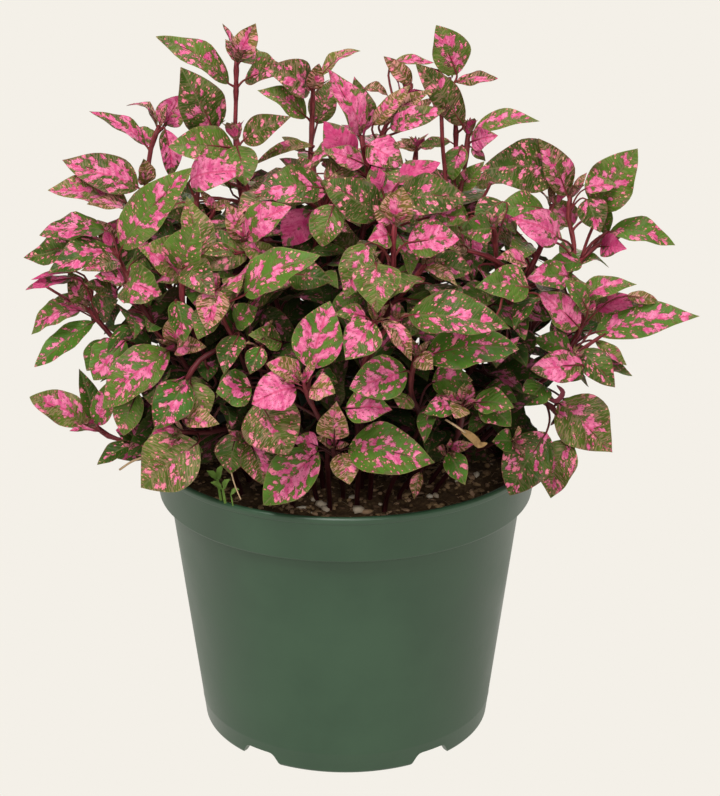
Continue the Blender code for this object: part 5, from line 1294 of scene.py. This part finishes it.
def leaf_material():
    """Green leaf with pink splashes and freckles, drawn out a little along the side veins."""
    shader = Shader("leaf")
    start, reach, seed = shader.parts("vein")
    edge, rows, side = shader.parts("face")
    level, youth, under = shader.parts("look")
    # dark is the share of painted shade, habit a random value of each leaf
    dark, habit, _ = shader.parts("tone")
    shift = shader.math("MULTIPLY", seed, 7.3)

    def stretched(along, across, drift):
        return shader.vector(shader.math("MULTIPLY", start, along),
                             shader.math("MULTIPLY", reach, across),
                             shader.math("ADD", shift, drift))

    broad = shader.noise(stretched(0.25, 0.27, 0.0), detail=1.0)
    teeth = shader.noise(stretched(0.70, 1.05, 11.0), detail=4.0, roughness=0.74)
    ragged = shader.math("SUBTRACT", teeth, 0.5)
    field = shader.math("MULTIPLY_ADD", ragged, 0.58, broad)
    above = shader.math("SUBTRACT", field, level)
    splash = shader.ramp(above, -0.003, 0.010)
    rim = shader.math("SUBTRACT", shader.ramp(above, -0.095, -0.003), splash, clamp=True)

    def dots(scale, squeeze, smallest, spread, roughness):
        """Freckles, the ring round each, and a random value of each."""
        place = shader.vector(shader.math("MULTIPLY_ADD", start, scale, shift),
                              shader.math("MULTIPLY_ADD", reach, scale * squeeze, shift), 0.0)
        gap, colour = shader.cells(place)
        tone = shader.node("ShaderNodeSeparateColor")
        shader.link(colour, tone.inputs[0])
        size = shader.math("MULTIPLY_ADD", tone.outputs[0], spread, smallest)
        size = shader.math("MULTIPLY_ADD", youth, 0.06, size)
        size = shader.math("MULTIPLY_ADD", shader.math("SUBTRACT", broad, 0.5), 0.55, size)
        inside = shader.math("SUBTRACT", shader.math("MULTIPLY_ADD", ragged, roughness, size), gap)
        spot = shader.ramp(inside, -0.02, 0.05)
        ring = shader.math("SUBTRACT", shader.ramp(inside, -0.14, -0.02), spot, clamp=True)
        return spot, ring, tone.outputs[1]

    freckle, ring, tone = dots(0.66, 0.90, -0.14, 0.38, 0.90)
    fleck, fleck_ring, _ = dots(0.26, 0.85, -0.16, 0.42, 1.3)
    streak = shader.noise(stretched(1.9, 0.42, 37.0), detail=1.0)
    streak = shader.math("MULTIPLY", shader.ramp(streak, 0.50, 0.57), youth)

    shade = shader.noise(stretched(0.12, 0.12, 5.0), detail=2.0)
    light = shader.math("MULTIPLY_ADD", habit, 0.5, shade)
    green = shader.mix(shader.ramp(light, 0.40, 1.05), (0.017, 0.056, 0.004), (0.066, 0.156, 0.016))
    bronze = shader.mix(shader.ramp(light, 0.40, 1.05), (0.078, 0.046, 0.006), (0.175, 0.100, 0.024))
    leaf = shader.mix(shader.math("MULTIPLY", youth, 0.8), green, bronze)
    rings = shader.math("MAXIMUM", rim, shader.math("MAXIMUM", ring, fleck_ring))
    leaf = shader.mix(shader.math("MULTIPLY", rings, 0.72), leaf, (0.120, 0.042, 0.018))
    leaf = shader.mix(shader.math("MULTIPLY", streak, 0.72), leaf, (0.60, 0.27, 0.23))
    cream = shader.ramp(tone, 0.45, 0.95)
    peach = shader.mix(cream, (0.66, 0.17, 0.21), (0.66, 0.38, 0.22))
    leaf = shader.mix(shader.math("MULTIPLY", freckle, 0.85), leaf, peach)
    leaf = shader.mix(shader.math("MULTIPLY", fleck, 0.92), leaf, (0.80, 0.20, 0.30))
    glow = shader.noise(stretched(0.5, 0.3, 51.0), detail=2.0)
    pink = shader.mix(shader.ramp(glow, 0.3, 0.7), (0.52, 0.058, 0.180), (0.74, 0.200, 0.345))
    stain = shader.ramp(shader.noise(stretched(0.9, 1.2, 71.0), detail=4.0, roughness=0.7), 0.555, 0.60)
    pink = shader.mix(shader.math("MULTIPLY", stain, 0.70), pink, (0.22, 0.032, 0.045))
    leaf = shader.mix(splash, leaf, pink)

    wander = shader.math("MULTIPLY_ADD", shader.math("SUBTRACT", shade, 0.5), 0.5, rows)
    between = shader.math("PINGPONG", wander, 0.5)
    groove = shader.ramp(between, 0.0, 0.10, 1.0, 0.0)
    leaf = shader.mix(shader.math("MULTIPLY", groove, 0.16), leaf, (0.10, 0.02, 0.02))
    rib = shader.ramp(side, 0.20, 0.48, 1.0, 0.0)
    rib_colour = shader.mix(splash, (0.14, 0.13, 0.050), (0.50, 0.04, 0.12))
    leaf = shader.mix(shader.math("MULTIPLY", rib, 0.6), leaf, rib_colour)
    margin = shader.ramp(edge, 0.10, 0.38, 1.0, 0.0)
    margin_colour = shader.mix(shader.ramp(habit, 0.45, 0.55), (0.17, 0.05, 0.035), (0.22, 0.20, 0.06))
    leaf = shader.mix(shader.math("MULTIPLY", margin, 0.6), leaf, margin_colour)

    faded = shader.mix(0.45, leaf, (0.13, 0.075, 0.055))
    purple = shader.mix(0.55, pink, (0.40, 0.015, 0.100))
    back = shader.mix(splash, faded, purple)
    # Painted shade: leaves deep inside the mound are darkened towards near black
    painted_shade_share = shader.math("MULTIPLY", dark, 0.84)
    shader.set("Base Color", shader.mix(painted_shade_share, shader.mix(under, leaf, back), (0.006, 0.009, 0.001)))
    rough = shader.ramp(glow, 0.3, 0.7, 0.38, 0.52)
    shader.set("Roughness", shader.math("MULTIPLY_ADD", dark, 0.55, rough, clamp=True))
    shader.set("Specular IOR Level", 0.13)
    fine = shader.noise(stretched(2.6, 2.2, 3.0), detail=2.0)
    height = shader.math("MULTIPLY_ADD", shader.ramp(between, 0.0, 0.35), 0.42,
                         shader.math("MULTIPLY", fine, 0.35))
    height = shader.math("MULTIPLY_ADD", rib, -0.6, height)
    shader.bump(height, 0.6, 0.0005)
    return shader.material


def stem_material():
    """Crimson stems, some browner than others, with fine streaks."""
    shader = Shader("stem")
    length, turn, seed = shader.parts("vein")
    tint, share, _ = shader.parts("look")
    place = shader.vector(shader.math("MULTIPLY", length, 0.22), shader.math("MULTIPLY", turn, 1.3),
                          shader.math("MULTIPLY", seed, 3.1))
    streak = shader.noise(place, detail=3.0, roughness=0.6)
    crimson = shader.mix(shader.ramp(streak, 0.3, 0.7), (0.080, 0.008, 0.012), (0.225, 0.032, 0.042))
    brown = shader.mix(shader.ramp(streak, 0.3, 0.7), (0.070, 0.026, 0.014), (0.19, 0.075, 0.040))
    colour = shader.mix(shader.math("MULTIPLY", tint, 0.35), crimson, brown)
    # Painted shade: stems deep inside the mound are darkened towards near black
    dark, _, _ = shader.parts("tone")
    shader.set("Base Color", shader.mix(shader.math("MULTIPLY", dark, 0.80), colour, (0.010, 0.004, 0.004)))
    shader.set("Roughness", shader.ramp(streak, 0.3, 0.7, 0.38, 0.6))
    shader.set("Specular IOR Level", 0.14)
    shader.bump(streak, 0.4, 0.0002)
    return shader.material


def body_radius(height):
    return BODY_FOOT_RADIUS + BODY_SLOPE * height


def inner_radius(height):
    """Radius of the inside wall, which leans out more above the body."""
    if height <= BAND_BOTTOM - 1:
        return body_radius(height) - POT_WALL
    start = body_radius(BAND_BOTTOM - 1) - POT_WALL
    share = (height - BAND_BOTTOM + 1) / (POT_HEIGHT - 0.6 - BAND_BOTTOM + 1)
    return start + (LIP_INNER_RADIUS - start) * share


def pot_corners():
    """Radius, height and rounding of each corner of the pot's section."""
    line = MOULD_LINE_HEIGHT
    return (
        (0.0, FLOOR_TOP, 0.0), (inner_radius(FLOOR_TOP), FLOOR_TOP, 2.0),
        (inner_radius(BAND_BOTTOM - 1), BAND_BOTTOM - 1, 1.5),
        (LIP_INNER_RADIUS, POT_HEIGHT - 0.6, 0.35), (LIP_INNER_RADIUS + 0.4, POT_HEIGHT, 0.25),
        (RIM_RADIUS - 0.7, POT_HEIGHT, 0.35), (RIM_RADIUS, POT_HEIGHT - 0.8, 0.40),
        (RIM_RADIUS - 0.5, POT_HEIGHT - 2.6, 0.25), (RIM_RADIUS - 0.9, POT_HEIGHT - 2.8, 0.15),
        (BAND_RADIUS + 0.15, BAND_BOTTOM + 1.4, 0.4), (BAND_RADIUS, BAND_BOTTOM + 0.5, 0.3),
        (BAND_RADIUS - 0.5, BAND_BOTTOM, 0.25), (body_radius(BAND_BOTTOM), BAND_BOTTOM, 0.4),
        (body_radius(line + 0.5), line + 0.5, 0.0), (body_radius(line) + MOULD_LINE_RISE, line, 0.0),
        (body_radius(line - 0.5), line - 0.5, 0.0),
        (BODY_FOOT_RADIUS + 0.1, 0.9, 0.5), (BODY_FOOT_RADIUS - 0.7, 0.0, 0.4),
        (BODY_FOOT_RADIUS - 3.0, 0.0, 0.3), (BODY_FOOT_RADIUS - 3.4, FLOOR_UNDERSIDE, 0.8),
        (0.0, FLOOR_UNDERSIDE, 0.0),
    )


def rounded(corners):
    """Section with each corner turned into a small curve."""
    section = []
    for i, (radius, height, reach) in enumerate(corners):
        spot = Vector((radius, height))
        if reach == 0.0:
            section.append(spot)
            continue
        before = spot + (Vector(corners[i - 1][:2]) - spot).normalized() * reach
        after = spot + (Vector(corners[i + 1][:2]) - spot).normalized() * reach
        for k in range(CORNER_STEPS + 1):
            t = k / CORNER_STEPS
            section.append(before * (1 - t) ** 2 + spot * 2 * t * (1 - t) + after * t * t)
    return section


def turned(section, steps):
    """Points and faces of a solid turned from a section that starts and ends on the axis."""
    points = [Vector((0, 0, section[0].y))]
    for spot in section[1:-1]:
        for k in range(steps):
            turn = 2 * math.pi * k / steps
            points.append(Vector((spot.x * math.cos(turn), spot.x * math.sin(turn), spot.y)))
    points.append(Vector((0, 0, section[-1].y)))
    faces = []
    last = len(points) - 1
    rings = len(section) - 2
    for k in range(steps):
        after = (k + 1) % steps
        faces.append((0, 1 + k, 1 + after))
        for ring in range(rings - 1):
            a, b = 1 + ring * steps + k, 1 + ring * steps + after
            faces.append((a, a + steps, b + steps, b))
        end = 1 + (rings - 1) * steps
        faces.append((end + after, end + k, last))
    return points, faces


def plain_object(name, points, faces):
    """Object from points in mm, with its faces turned outward."""
    mesh = bpy.data.meshes.new(name)
    mesh.from_pydata([tuple(p * MM) for p in points], [], faces)
    work = bmesh.new()
    work.from_mesh(mesh)
    bmesh.ops.recalc_face_normals(work, faces=work.faces)
    work.to_mesh(mesh)
    work.free()
    thing = bpy.data.objects.new(name, mesh)
    bpy.context.scene.collection.objects.link(thing)
    return thing


def slot_cutter(bearing):
    """Block with rounded upper corners that cuts one drain slot."""
    across = Vector((-math.sin(bearing), math.cos(bearing), 0))
    outward = Vector((math.cos(bearing), math.sin(bearing), 0))
    low, high = SLOT_WIDTH_LOW / 2, SLOT_WIDTH_HIGH / 2
    corners = ((-low, -1.0, 0.0), (-high, SLOT_HEIGHT, SLOT_CORNER),
               (high, SLOT_HEIGHT, SLOT_CORNER), (low, -1.0, 0.0))
    outline = rounded(corners)
    count = len(outline)
    points = [outward * reach + across * spot.x + Vector((0, 0, spot.y))
              for reach in (BODY_FOOT_RADIUS - SLOT_DEPTH, BODY_FOOT_RADIUS + SLOT_DEPTH)
              for spot in outline]
    faces = [tuple(range(count)), tuple(reversed(range(count, 2 * count)))]
    faces += [(i, (i + 1) % count, count + (i + 1) % count, count + i) for i in range(count)]
    return plain_object("slot_cutter", points, faces)


def make_fine_pot():
    """The pot with round corners and a finer turn."""
    pot = plain_object("fine_pot", *turned(rounded(pot_corners()), TURN_STEPS))
    cutters = [slot_cutter(math.radians(-54 + 72 * k)) for k in range(DRAIN_SLOTS)]
    for cutter in cutters:
        cut = pot.modifiers.new("cut", "BOOLEAN")
        cut.operation = "DIFFERENCE"
        cut.object = cutter
        cut.solver = "EXACT"
    graph = bpy.context.evaluated_depsgraph_get()
    mesh = bpy.data.meshes.new_from_object(pot.evaluated_get(graph))
    pot.modifiers.clear()
    pot.data = mesh
    for cutter in cutters:
        bpy.data.objects.remove(cutter)
    mesh.polygons.foreach_set("use_smooth", [True] * len(mesh.polygons))
    mesh.set_sharp_from_angle(angle=math.radians(38))
    mesh.materials.clear()
    mesh.materials.append(pot_material())
    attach(pot, "root")
    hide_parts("pot")


def pot_material():
    """Satin dark green plastic, a little dusty and marbled."""
    shader = Shader("pot_green")
    place = shader.node("ShaderNodeTexCoord").outputs["Object"]
    cloud = shader.noise(place, scale=26.0, detail=4.0, roughness=0.6)
    grain = shader.noise(place, scale=900.0, detail=2.0)
    colour = shader.mix(shader.ramp(cloud, 0.3, 0.7), (0.019, 0.053, 0.0245), (0.0265, 0.066, 0.032))
    shader.set("Base Color", colour)
    shader.set("Roughness", shader.ramp(cloud, 0.3, 0.7, 0.36, 0.46))
    shader.set("Specular IOR Level", 0.5)
    shader.bump(shader.math("MULTIPLY_ADD", grain, 0.3, cloud), 0.25, 0.0003)
    return shader.material


def soil_height(x, y):
    """Uneven top of the soil."""
    wave = math.sin(x * 0.21 + 1.3) * math.cos(y * 0.17 - 0.6) + 0.6 * math.sin(x * 0.43 + y * 0.37)
    return SOIL_TOP + SOIL_ROUGHNESS * 0.6 * wave


def soil_relief(x, y):
    """Soil top with lumps and hollows on it."""
    lumps = noise.noise(Vector((x * 0.22, y * 0.22, 3.0))) + 0.6 * noise.noise(
        Vector((x * 0.6, y * 0.6, 9.0))) + 0.35 * noise.noise(Vector((x * 1.3, y * 1.3, 5.0)))
    return soil_height(x, y) + SOIL_RELIEF * lumps


def grain_material(name, dark, light, roughness, scale):
    """Dull earthy material between two colours."""
    shader = Shader(name)
    place = shader.node("ShaderNodeTexCoord").outputs["Object"]
    cloud = shader.noise(place, scale=scale, detail=4.0, roughness=0.65)
    tone, share, _ = shader.parts("look")
    mixed = shader.math("MULTIPLY_ADD", tone, 0.5, shader.math("MULTIPLY", cloud, 0.6))
    shader.set("Base Color", shader.mix(shader.ramp(mixed, 0.2, 0.85), dark, light))
    shader.set("Roughness", shader.ramp(cloud, 0.3, 0.7, roughness, 1.0))
    shader.set("Specular IOR Level", 0.10)
    shader.bump(cloud, 0.8, 0.0005)
    return shader.material


def lump_shape():
    """Points and faces of a small round lump."""
    work = bmesh.new()
    bmesh.ops.create_icosphere(work, subdivisions=1, radius=1.0)
    points = [vertex.co.copy() for vertex in work.verts]
    faces = [tuple(vertex.index for vertex in face.verts) for face in work.faces]
    work.free()
    return points, faces


def add_lump(piece, shape, spot, size, rng, slot):
    """One irregular flattened lump."""
    turn = Matrix.Rotation(rng.uniform(0, 6.28), 3, "Z") @ Matrix.Rotation(rng.uniform(-0.5, 0.5), 3, "X")
    stretch = (rng.uniform(0.8, 1.5), rng.uniform(0.6, 1.0), rng.uniform(0.35, 0.7))
    points = []
    for point in shape[0]:
        jitter = rng.uniform(0.75, 1.2)
        local = Vector((point[i] * stretch[i] * size * jitter for i in range(3)))
        points.append(spot + turn @ local)
    piece.add(points, shape[1], slot, look=[(rng.random(), 0.0, 0.0)] * len(points))


def seen_on_soil(across, up, lift):
    """Spot a little above the soil that shows at a place of the middle plane."""
    spot = seen(across, up, 0.0)
    share = (SOIL_TOP + lift - EYE.z) / (spot.z - EYE.z)
    return EYE + (spot - EYE) * share


def on_soil(rng, reach):
    """Random spot on the soil within a distance of the middle."""
    turn = rng.uniform(0, 2 * math.pi)
    radius = reach * math.sqrt(rng.random())
    x, y = radius * math.cos(turn), radius * math.sin(turn)
    return Vector((x, y, soil_relief(x, y)))


def make_fine_soil():
    """Soil with a crumbly top: lumps, bark, stones and fibres."""
    piece = Piece()
    rng = random.Random(SOIL_SEED)
    edge = inner_radius(SOIL_TOP - 1.5) - SOIL_CLEARANCE - 0.35
    rings = [edge * (i + 1) / round(edge / SOIL_RING_STEP) for i in range(round(edge / SOIL_RING_STEP))]
    points = [Vector((0, 0, soil_relief(0, 0)))]
    for radius in rings:
        for k in range(SOIL_SEGMENTS):
            turn = 2 * math.pi * k / SOIL_SEGMENTS
            x, y = radius * math.cos(turn), radius * math.sin(turn)
            points.append(Vector((x, y, soil_relief(x, y))))
    for height in (BAND_BOTTOM - 1, FLOOR_TOP + SOIL_CLEARANCE):
        radius = inner_radius(height) - SOIL_CLEARANCE - 0.35
        for k in range(SOIL_SEGMENTS):
            turn = 2 * math.pi * k / SOIL_SEGMENTS
            points.append(Vector((radius * math.cos(turn), radius * math.sin(turn), height)))
    points.append(Vector((0, 0, FLOOR_TOP + SOIL_CLEARANCE)))
    faces = []
    for k in range(SOIL_SEGMENTS):
        after = (k + 1) % SOIL_SEGMENTS
        faces.append((0, 1 + k, 1 + after))
        for ring in range(len(rings) + 1):
            a, b = 1 + ring * SOIL_SEGMENTS + k, 1 + ring * SOIL_SEGMENTS + after
            faces.append((a, a + SOIL_SEGMENTS, b + SOIL_SEGMENTS, b))
        end = 1 + (len(rings) + 1) * SOIL_SEGMENTS
        faces.append((end + after, end + k, len(points) - 1))
    piece.add(points, faces, 0)
    shape = lump_shape()
    for _ in range(CHIP_COUNT):
        size = rng.uniform(*CHIP_SIZE) * rng.uniform(0.5, 1.0)
        add_lump(piece, shape, on_soil(rng, edge - 1.5), size, rng, rng.choice((0, 0, 0, 1, 1)))
    for _ in range(STONE_COUNT):
        add_lump(piece, shape, on_soil(rng, edge - 3), rng.uniform(0.8, 1.8), rng, 2)
    for across, up, size in LIP_STONES:
        add_lump(piece, shape, seen_on_soil(across, up, size * 0.5), size, rng, 2)
    for _ in range(FIBRE_COUNT):
        start = on_soil(rng, edge - 8) + Vector((0, 0, 0.4))
        way = Vector((rng.uniform(-1, 1), rng.uniform(-1, 1), 0)).normalized() * rng.uniform(2, 7)
        bend = Vector((-way.y, way.x, 0)) * rng.uniform(-0.3, 0.3)
        stops = [start, start + way * 0.5 + bend + Vector((0, 0, rng.uniform(0.2, 1.2))), start + way]
        add_tube(piece, smooth_path(stops, 1.0), [rng.uniform(0.10, 0.22)] * 9, 3, 3,
                 (rng.random(), 0.0))
    for radius, stops in (STRAW, TWIG, WITHERED_STALK):
        path = smooth_path([seen(*stop) for stop in stops], 1.5)
        add_tube(piece, path, [radius] * len(path), 6, 3, (1.0, 0.0))
    for width, stops, slot in (WITHERED + (4,), CURL + (5,)):
        add_ribbon(piece, [seen(*stop) for stop in stops], width, slot)
    soil = piece.build("fine_soil", [
        grain_material("peat", (0.070, 0.040, 0.020), (0.400, 0.255, 0.130), 0.85, 700.0),
        grain_material("bark", (0.110, 0.060, 0.034), (0.520, 0.330, 0.200), 0.75, 500.0),
        grain_material("stone", (0.560, 0.450, 0.320), (0.860, 0.760, 0.600), 0.70, 400.0),
        grain_material("fibre", (0.130, 0.080, 0.045), (0.420, 0.290, 0.170), 0.80, 600.0),
        grain_material("withered", (0.090, 0.048, 0.018), (0.330, 0.200, 0.085), 0.75, 500.0),
        grain_material("curl", (0.100, 0.018, 0.028), (0.260, 0.060, 0.080), 0.55, 500.0),
    ])
    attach(soil, "root")
    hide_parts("soil")


def add_ribbon(piece, stops, width, slot):
    """Thin curled strip along the stops, widest in the middle."""
    path = smooth_path(stops, 1.0)
    points, faces = [], []
    for i, spot in enumerate(path):
        share = i / (len(path) - 1)
        ahead = (path[min(i + 1, len(path) - 1)] - path[max(i - 1, 0)]).normalized()
        side = ahead.cross((EYE - spot).normalized()).normalized()
        half = width / 2 * math.sqrt(max(0.02, math.sin(math.pi * share)))
        for k in range(5):
            v = k / 2 - 1
            lift = (EYE - spot).normalized() * (0.45 * half * v * v - 0.3)
            points.append(spot + side * half * v + lift)
    for i in range(len(path) - 1):
        for k in range(4):
            a = i * 5 + k
            faces.append((a, a + 1, a + 6, a + 5))
    piece.add(points, faces, slot, look=[(0.6, 0.0, 0.0)] * len(points))


def make_seedlings():
    """A few bright seedlings in the soil by the front left lip."""
    piece = Piece()
    rng = random.Random(SOIL_SEED + 1)
    for foot, tip, width in SEEDLINGS:
        base, end = seen(*foot), seen(*tip)
        blade = Blade("seedling", base, base, end, face_normal(base, end, 45), width, 0.08, 0.0, "leaf")
        add_leaf(piece, blade, rng, (7, 6))
        ground = Vector((base.x * 0.94, base.y * 0.94, SOIL_TOP - 1))
        add_tube(piece, [ground, ground.lerp(base, 0.6), base], [0.35, 0.3, 0.25], 5, 0, (0.5, 0.0))
    thing = piece.build("seedlings", [grain_material(
        "seedling", (0.060, 0.115, 0.018), (0.150, 0.240, 0.050), 0.5, 300.0)])
    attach(thing, "root")


def hides_laid(blade, screen):
    """True where a blade would stand before a laid leaf as seen from the eye point."""
    for u in (0.05, 0.35, 0.65, 1.0):
        for v in (-0.8, 0.8):
            spot = blade_point(blade, u, v)
            if screen.ray_cast(spot, (spot - EYE).normalized())[0]:
                return True
    return False


def laid_screen(plant):
    """Surface of all laid leaves in one tree."""
    points, faces = [], []
    for blade in plant.blades:
        if blade.kind != "fill":
            mesh = blade_mesh(blade, 0.0, stalk=False)
            faces += [tuple(len(points) + i for i in face) for face in mesh[1]]
            points += mesh[0]
    return BVHTree.FromPolygons(points, faces)


def over_lip(blade):
    """True where a leaf of the inside would hang before the soil and the lip."""
    spots = [blade_point(blade, u, v) for u in (0.3, 0.7, 1.0) for v in (-1.0, 1.0)]
    return any(spot.z < SOIL_TOP + 6 or as_seen(spot)[1] < SHADE_FLOOR for spot in spots)


def shade_candidates(plant, paths, screen, rng):
    """Leaves at one random spot in the dark inside of the mound, facing out and up."""
    up = rng.uniform(108, 228)
    half_width, front = mound_at(up)
    across = rng.uniform(-1, 1) * half_width * 0.92
    bulge = math.sqrt(max(0.0, 1.0 - (across / 132.0) ** 2))
    base = seen(across, up, front * bulge + rng.uniform(10, 75))
    name, path = min(paths, key=lambda row: nearest_on(row[1], base)[0])
    gap, foot, index, ahead = nearest_on(path, base)
    if gap > 26:
        base = foot + (base - foot).normalized() * rng.uniform(8, 20)
    for attempt in range(6):
        outward = Vector((base.x, base.y, 0)).normalized()
        way = Vector((rng.uniform(-1, 1), rng.uniform(-1, 0.5), rng.uniform(-0.7, 0.5)))
        along = (way + outward * 0.3).normalized()
        tip = base + along * rng.uniform(*SHADE_LEAF_LENGTH)
        blade = Blade(name, foot, base, tip, face_normal(base, tip, rng.uniform(0, 60)),
                      (tip - base).length * rng.uniform(0.46, 0.58), 0.12,
                      rng.choice((0.02, 0.1, 0.2, 0.4, 0.8)), "fill")
        if not (over_lip(blade) or in_sight_gap(blade) or hides_laid(blade, screen)):
            yield blade


def lay_shade_leaves(plant):
    """Fills the dark inside of the mound, so that it is as dense as the real one."""
    rng = random.Random(LOOK_SEED)
    paths = [(name, path[2:] if len(path) > 3 else path) for stem, name, path, radii in plant.tubes]
    screen = laid_screen(plant)
    for _ in range(SHADE_LEAVES):
        plant.settle(shade_candidates(plant, paths, screen, rng), must_stay=False)


def node_mesh(name):
    """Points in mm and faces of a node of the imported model."""
    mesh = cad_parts[name].data
    points = [vertex.co / MM for vertex in mesh.vertices]
    return points, [tuple(face.vertices) for face in mesh.polygons]


def grow_plant():
    """The same stems and leaves as the solid model, with more leaves inside the mound."""
    plant = Plant(front_shoots() + back_shoots())
    plant.note("pot", "pot", node_mesh("pot"))
    plant.grow_stems()
    plant.note("soil", "soil", node_mesh("soil"))
    plant.lay_leaves()
    plant.fill_leaves()
    lay_shade_leaves(plant)
    return plant


def make_floor():
    """Pale ground without an edge, as bright as the surroundings."""
    mesh = bpy.data.meshes.new("floor")
    mesh.from_pydata([(-4, -4, 0), (4, -4, 0), (4, 4, 0), (-4, 4, 0)], [], [(0, 1, 2, 3)])
    floor = bpy.data.objects.new("floor", mesh)
    material = bpy.data.materials.new("pale_ground")
    material.use_nodes = True
    shader = material.node_tree.nodes["Principled BSDF"]
    shader.inputs["Base Color"].default_value = (0.0, 0.0, 0.0, 1.0)
    shader.inputs["Specular IOR Level"].default_value = 0.0
    shader.inputs["Emission Color"].default_value = (*BACKGROUND, 1.0)
    shader.inputs["Emission Strength"].default_value = 1.0
    mesh.materials.append(material)
    bpy.context.scene.collection.objects.link(floor)


def make_light(name, spot, target, size, power):
    data = bpy.data.lights.new(name, "AREA")
    data.shape = "DISK"
    data.size = size
    data.energy = power
    light = bpy.data.objects.new(name, data)
    light.location = spot
    light.rotation_euler = (Vector(target) - Vector(spot)).to_track_quat("-Z", "Y").to_euler()
    bpy.context.scene.collection.objects.link(light)


def make_surroundings():
    """World that is pale low down and dim above, two soft lights in front and two weak ones behind."""
    world = bpy.data.worlds.new("studio")
    world.use_nodes = True
    sky = world.node_tree.nodes["Background"]
    sky.inputs["Color"].default_value = (*BACKGROUND, 1.0)
    direction = world.node_tree.nodes.new("ShaderNodeTexCoord")
    split = world.node_tree.nodes.new("ShaderNodeSeparateXYZ")
    fade = world.node_tree.nodes.new("ShaderNodeMapRange")
    for number, socket in zip((0.0, 0.12, 0.40, 1.0, SKY_STRENGTH), fade.inputs):
        socket.default_value = number
    world.node_tree.links.new(direction.outputs["Generated"], split.inputs[0])
    world.node_tree.links.new(split.outputs[2], fade.inputs[0])
    world.node_tree.links.new(fade.outputs[0], sky.inputs["Strength"])
    bpy.context.scene.world = world
    make_light("key", *KEY_LIGHT)
    make_light("front", *FRONT_LIGHT)
    make_light("back", *BACK_LIGHT)
    make_light("rear", *REAR_LIGHT)


def make_camera():
    """Camera at the photo's eye point, looking down a little."""
    data = bpy.data.cameras.new("camera")
    data.lens = CAMERA_LENS
    data.sensor_width = CAMERA_SENSOR
    camera = bpy.data.objects.new("camera", data)
    camera.location = EYE * MM
    camera.rotation_euler = (math.radians(90 - CAMERA_DROP), 0, 0)
    bpy.context.scene.collection.objects.link(camera)
    bpy.context.scene.camera = camera


def main():
    plant = grow_plant()
    foliage = [leaf_material(), stem_material()]
    for stem in plant.stems:
        dress_stem(stem, plant, foliage)
    make_fine_pot()
    make_fine_soil()
    make_seedlings()
    make_floor()
    make_surroundings()
    make_camera()
    bpy.context.scene.view_settings.view_transform = "Standard"


main()
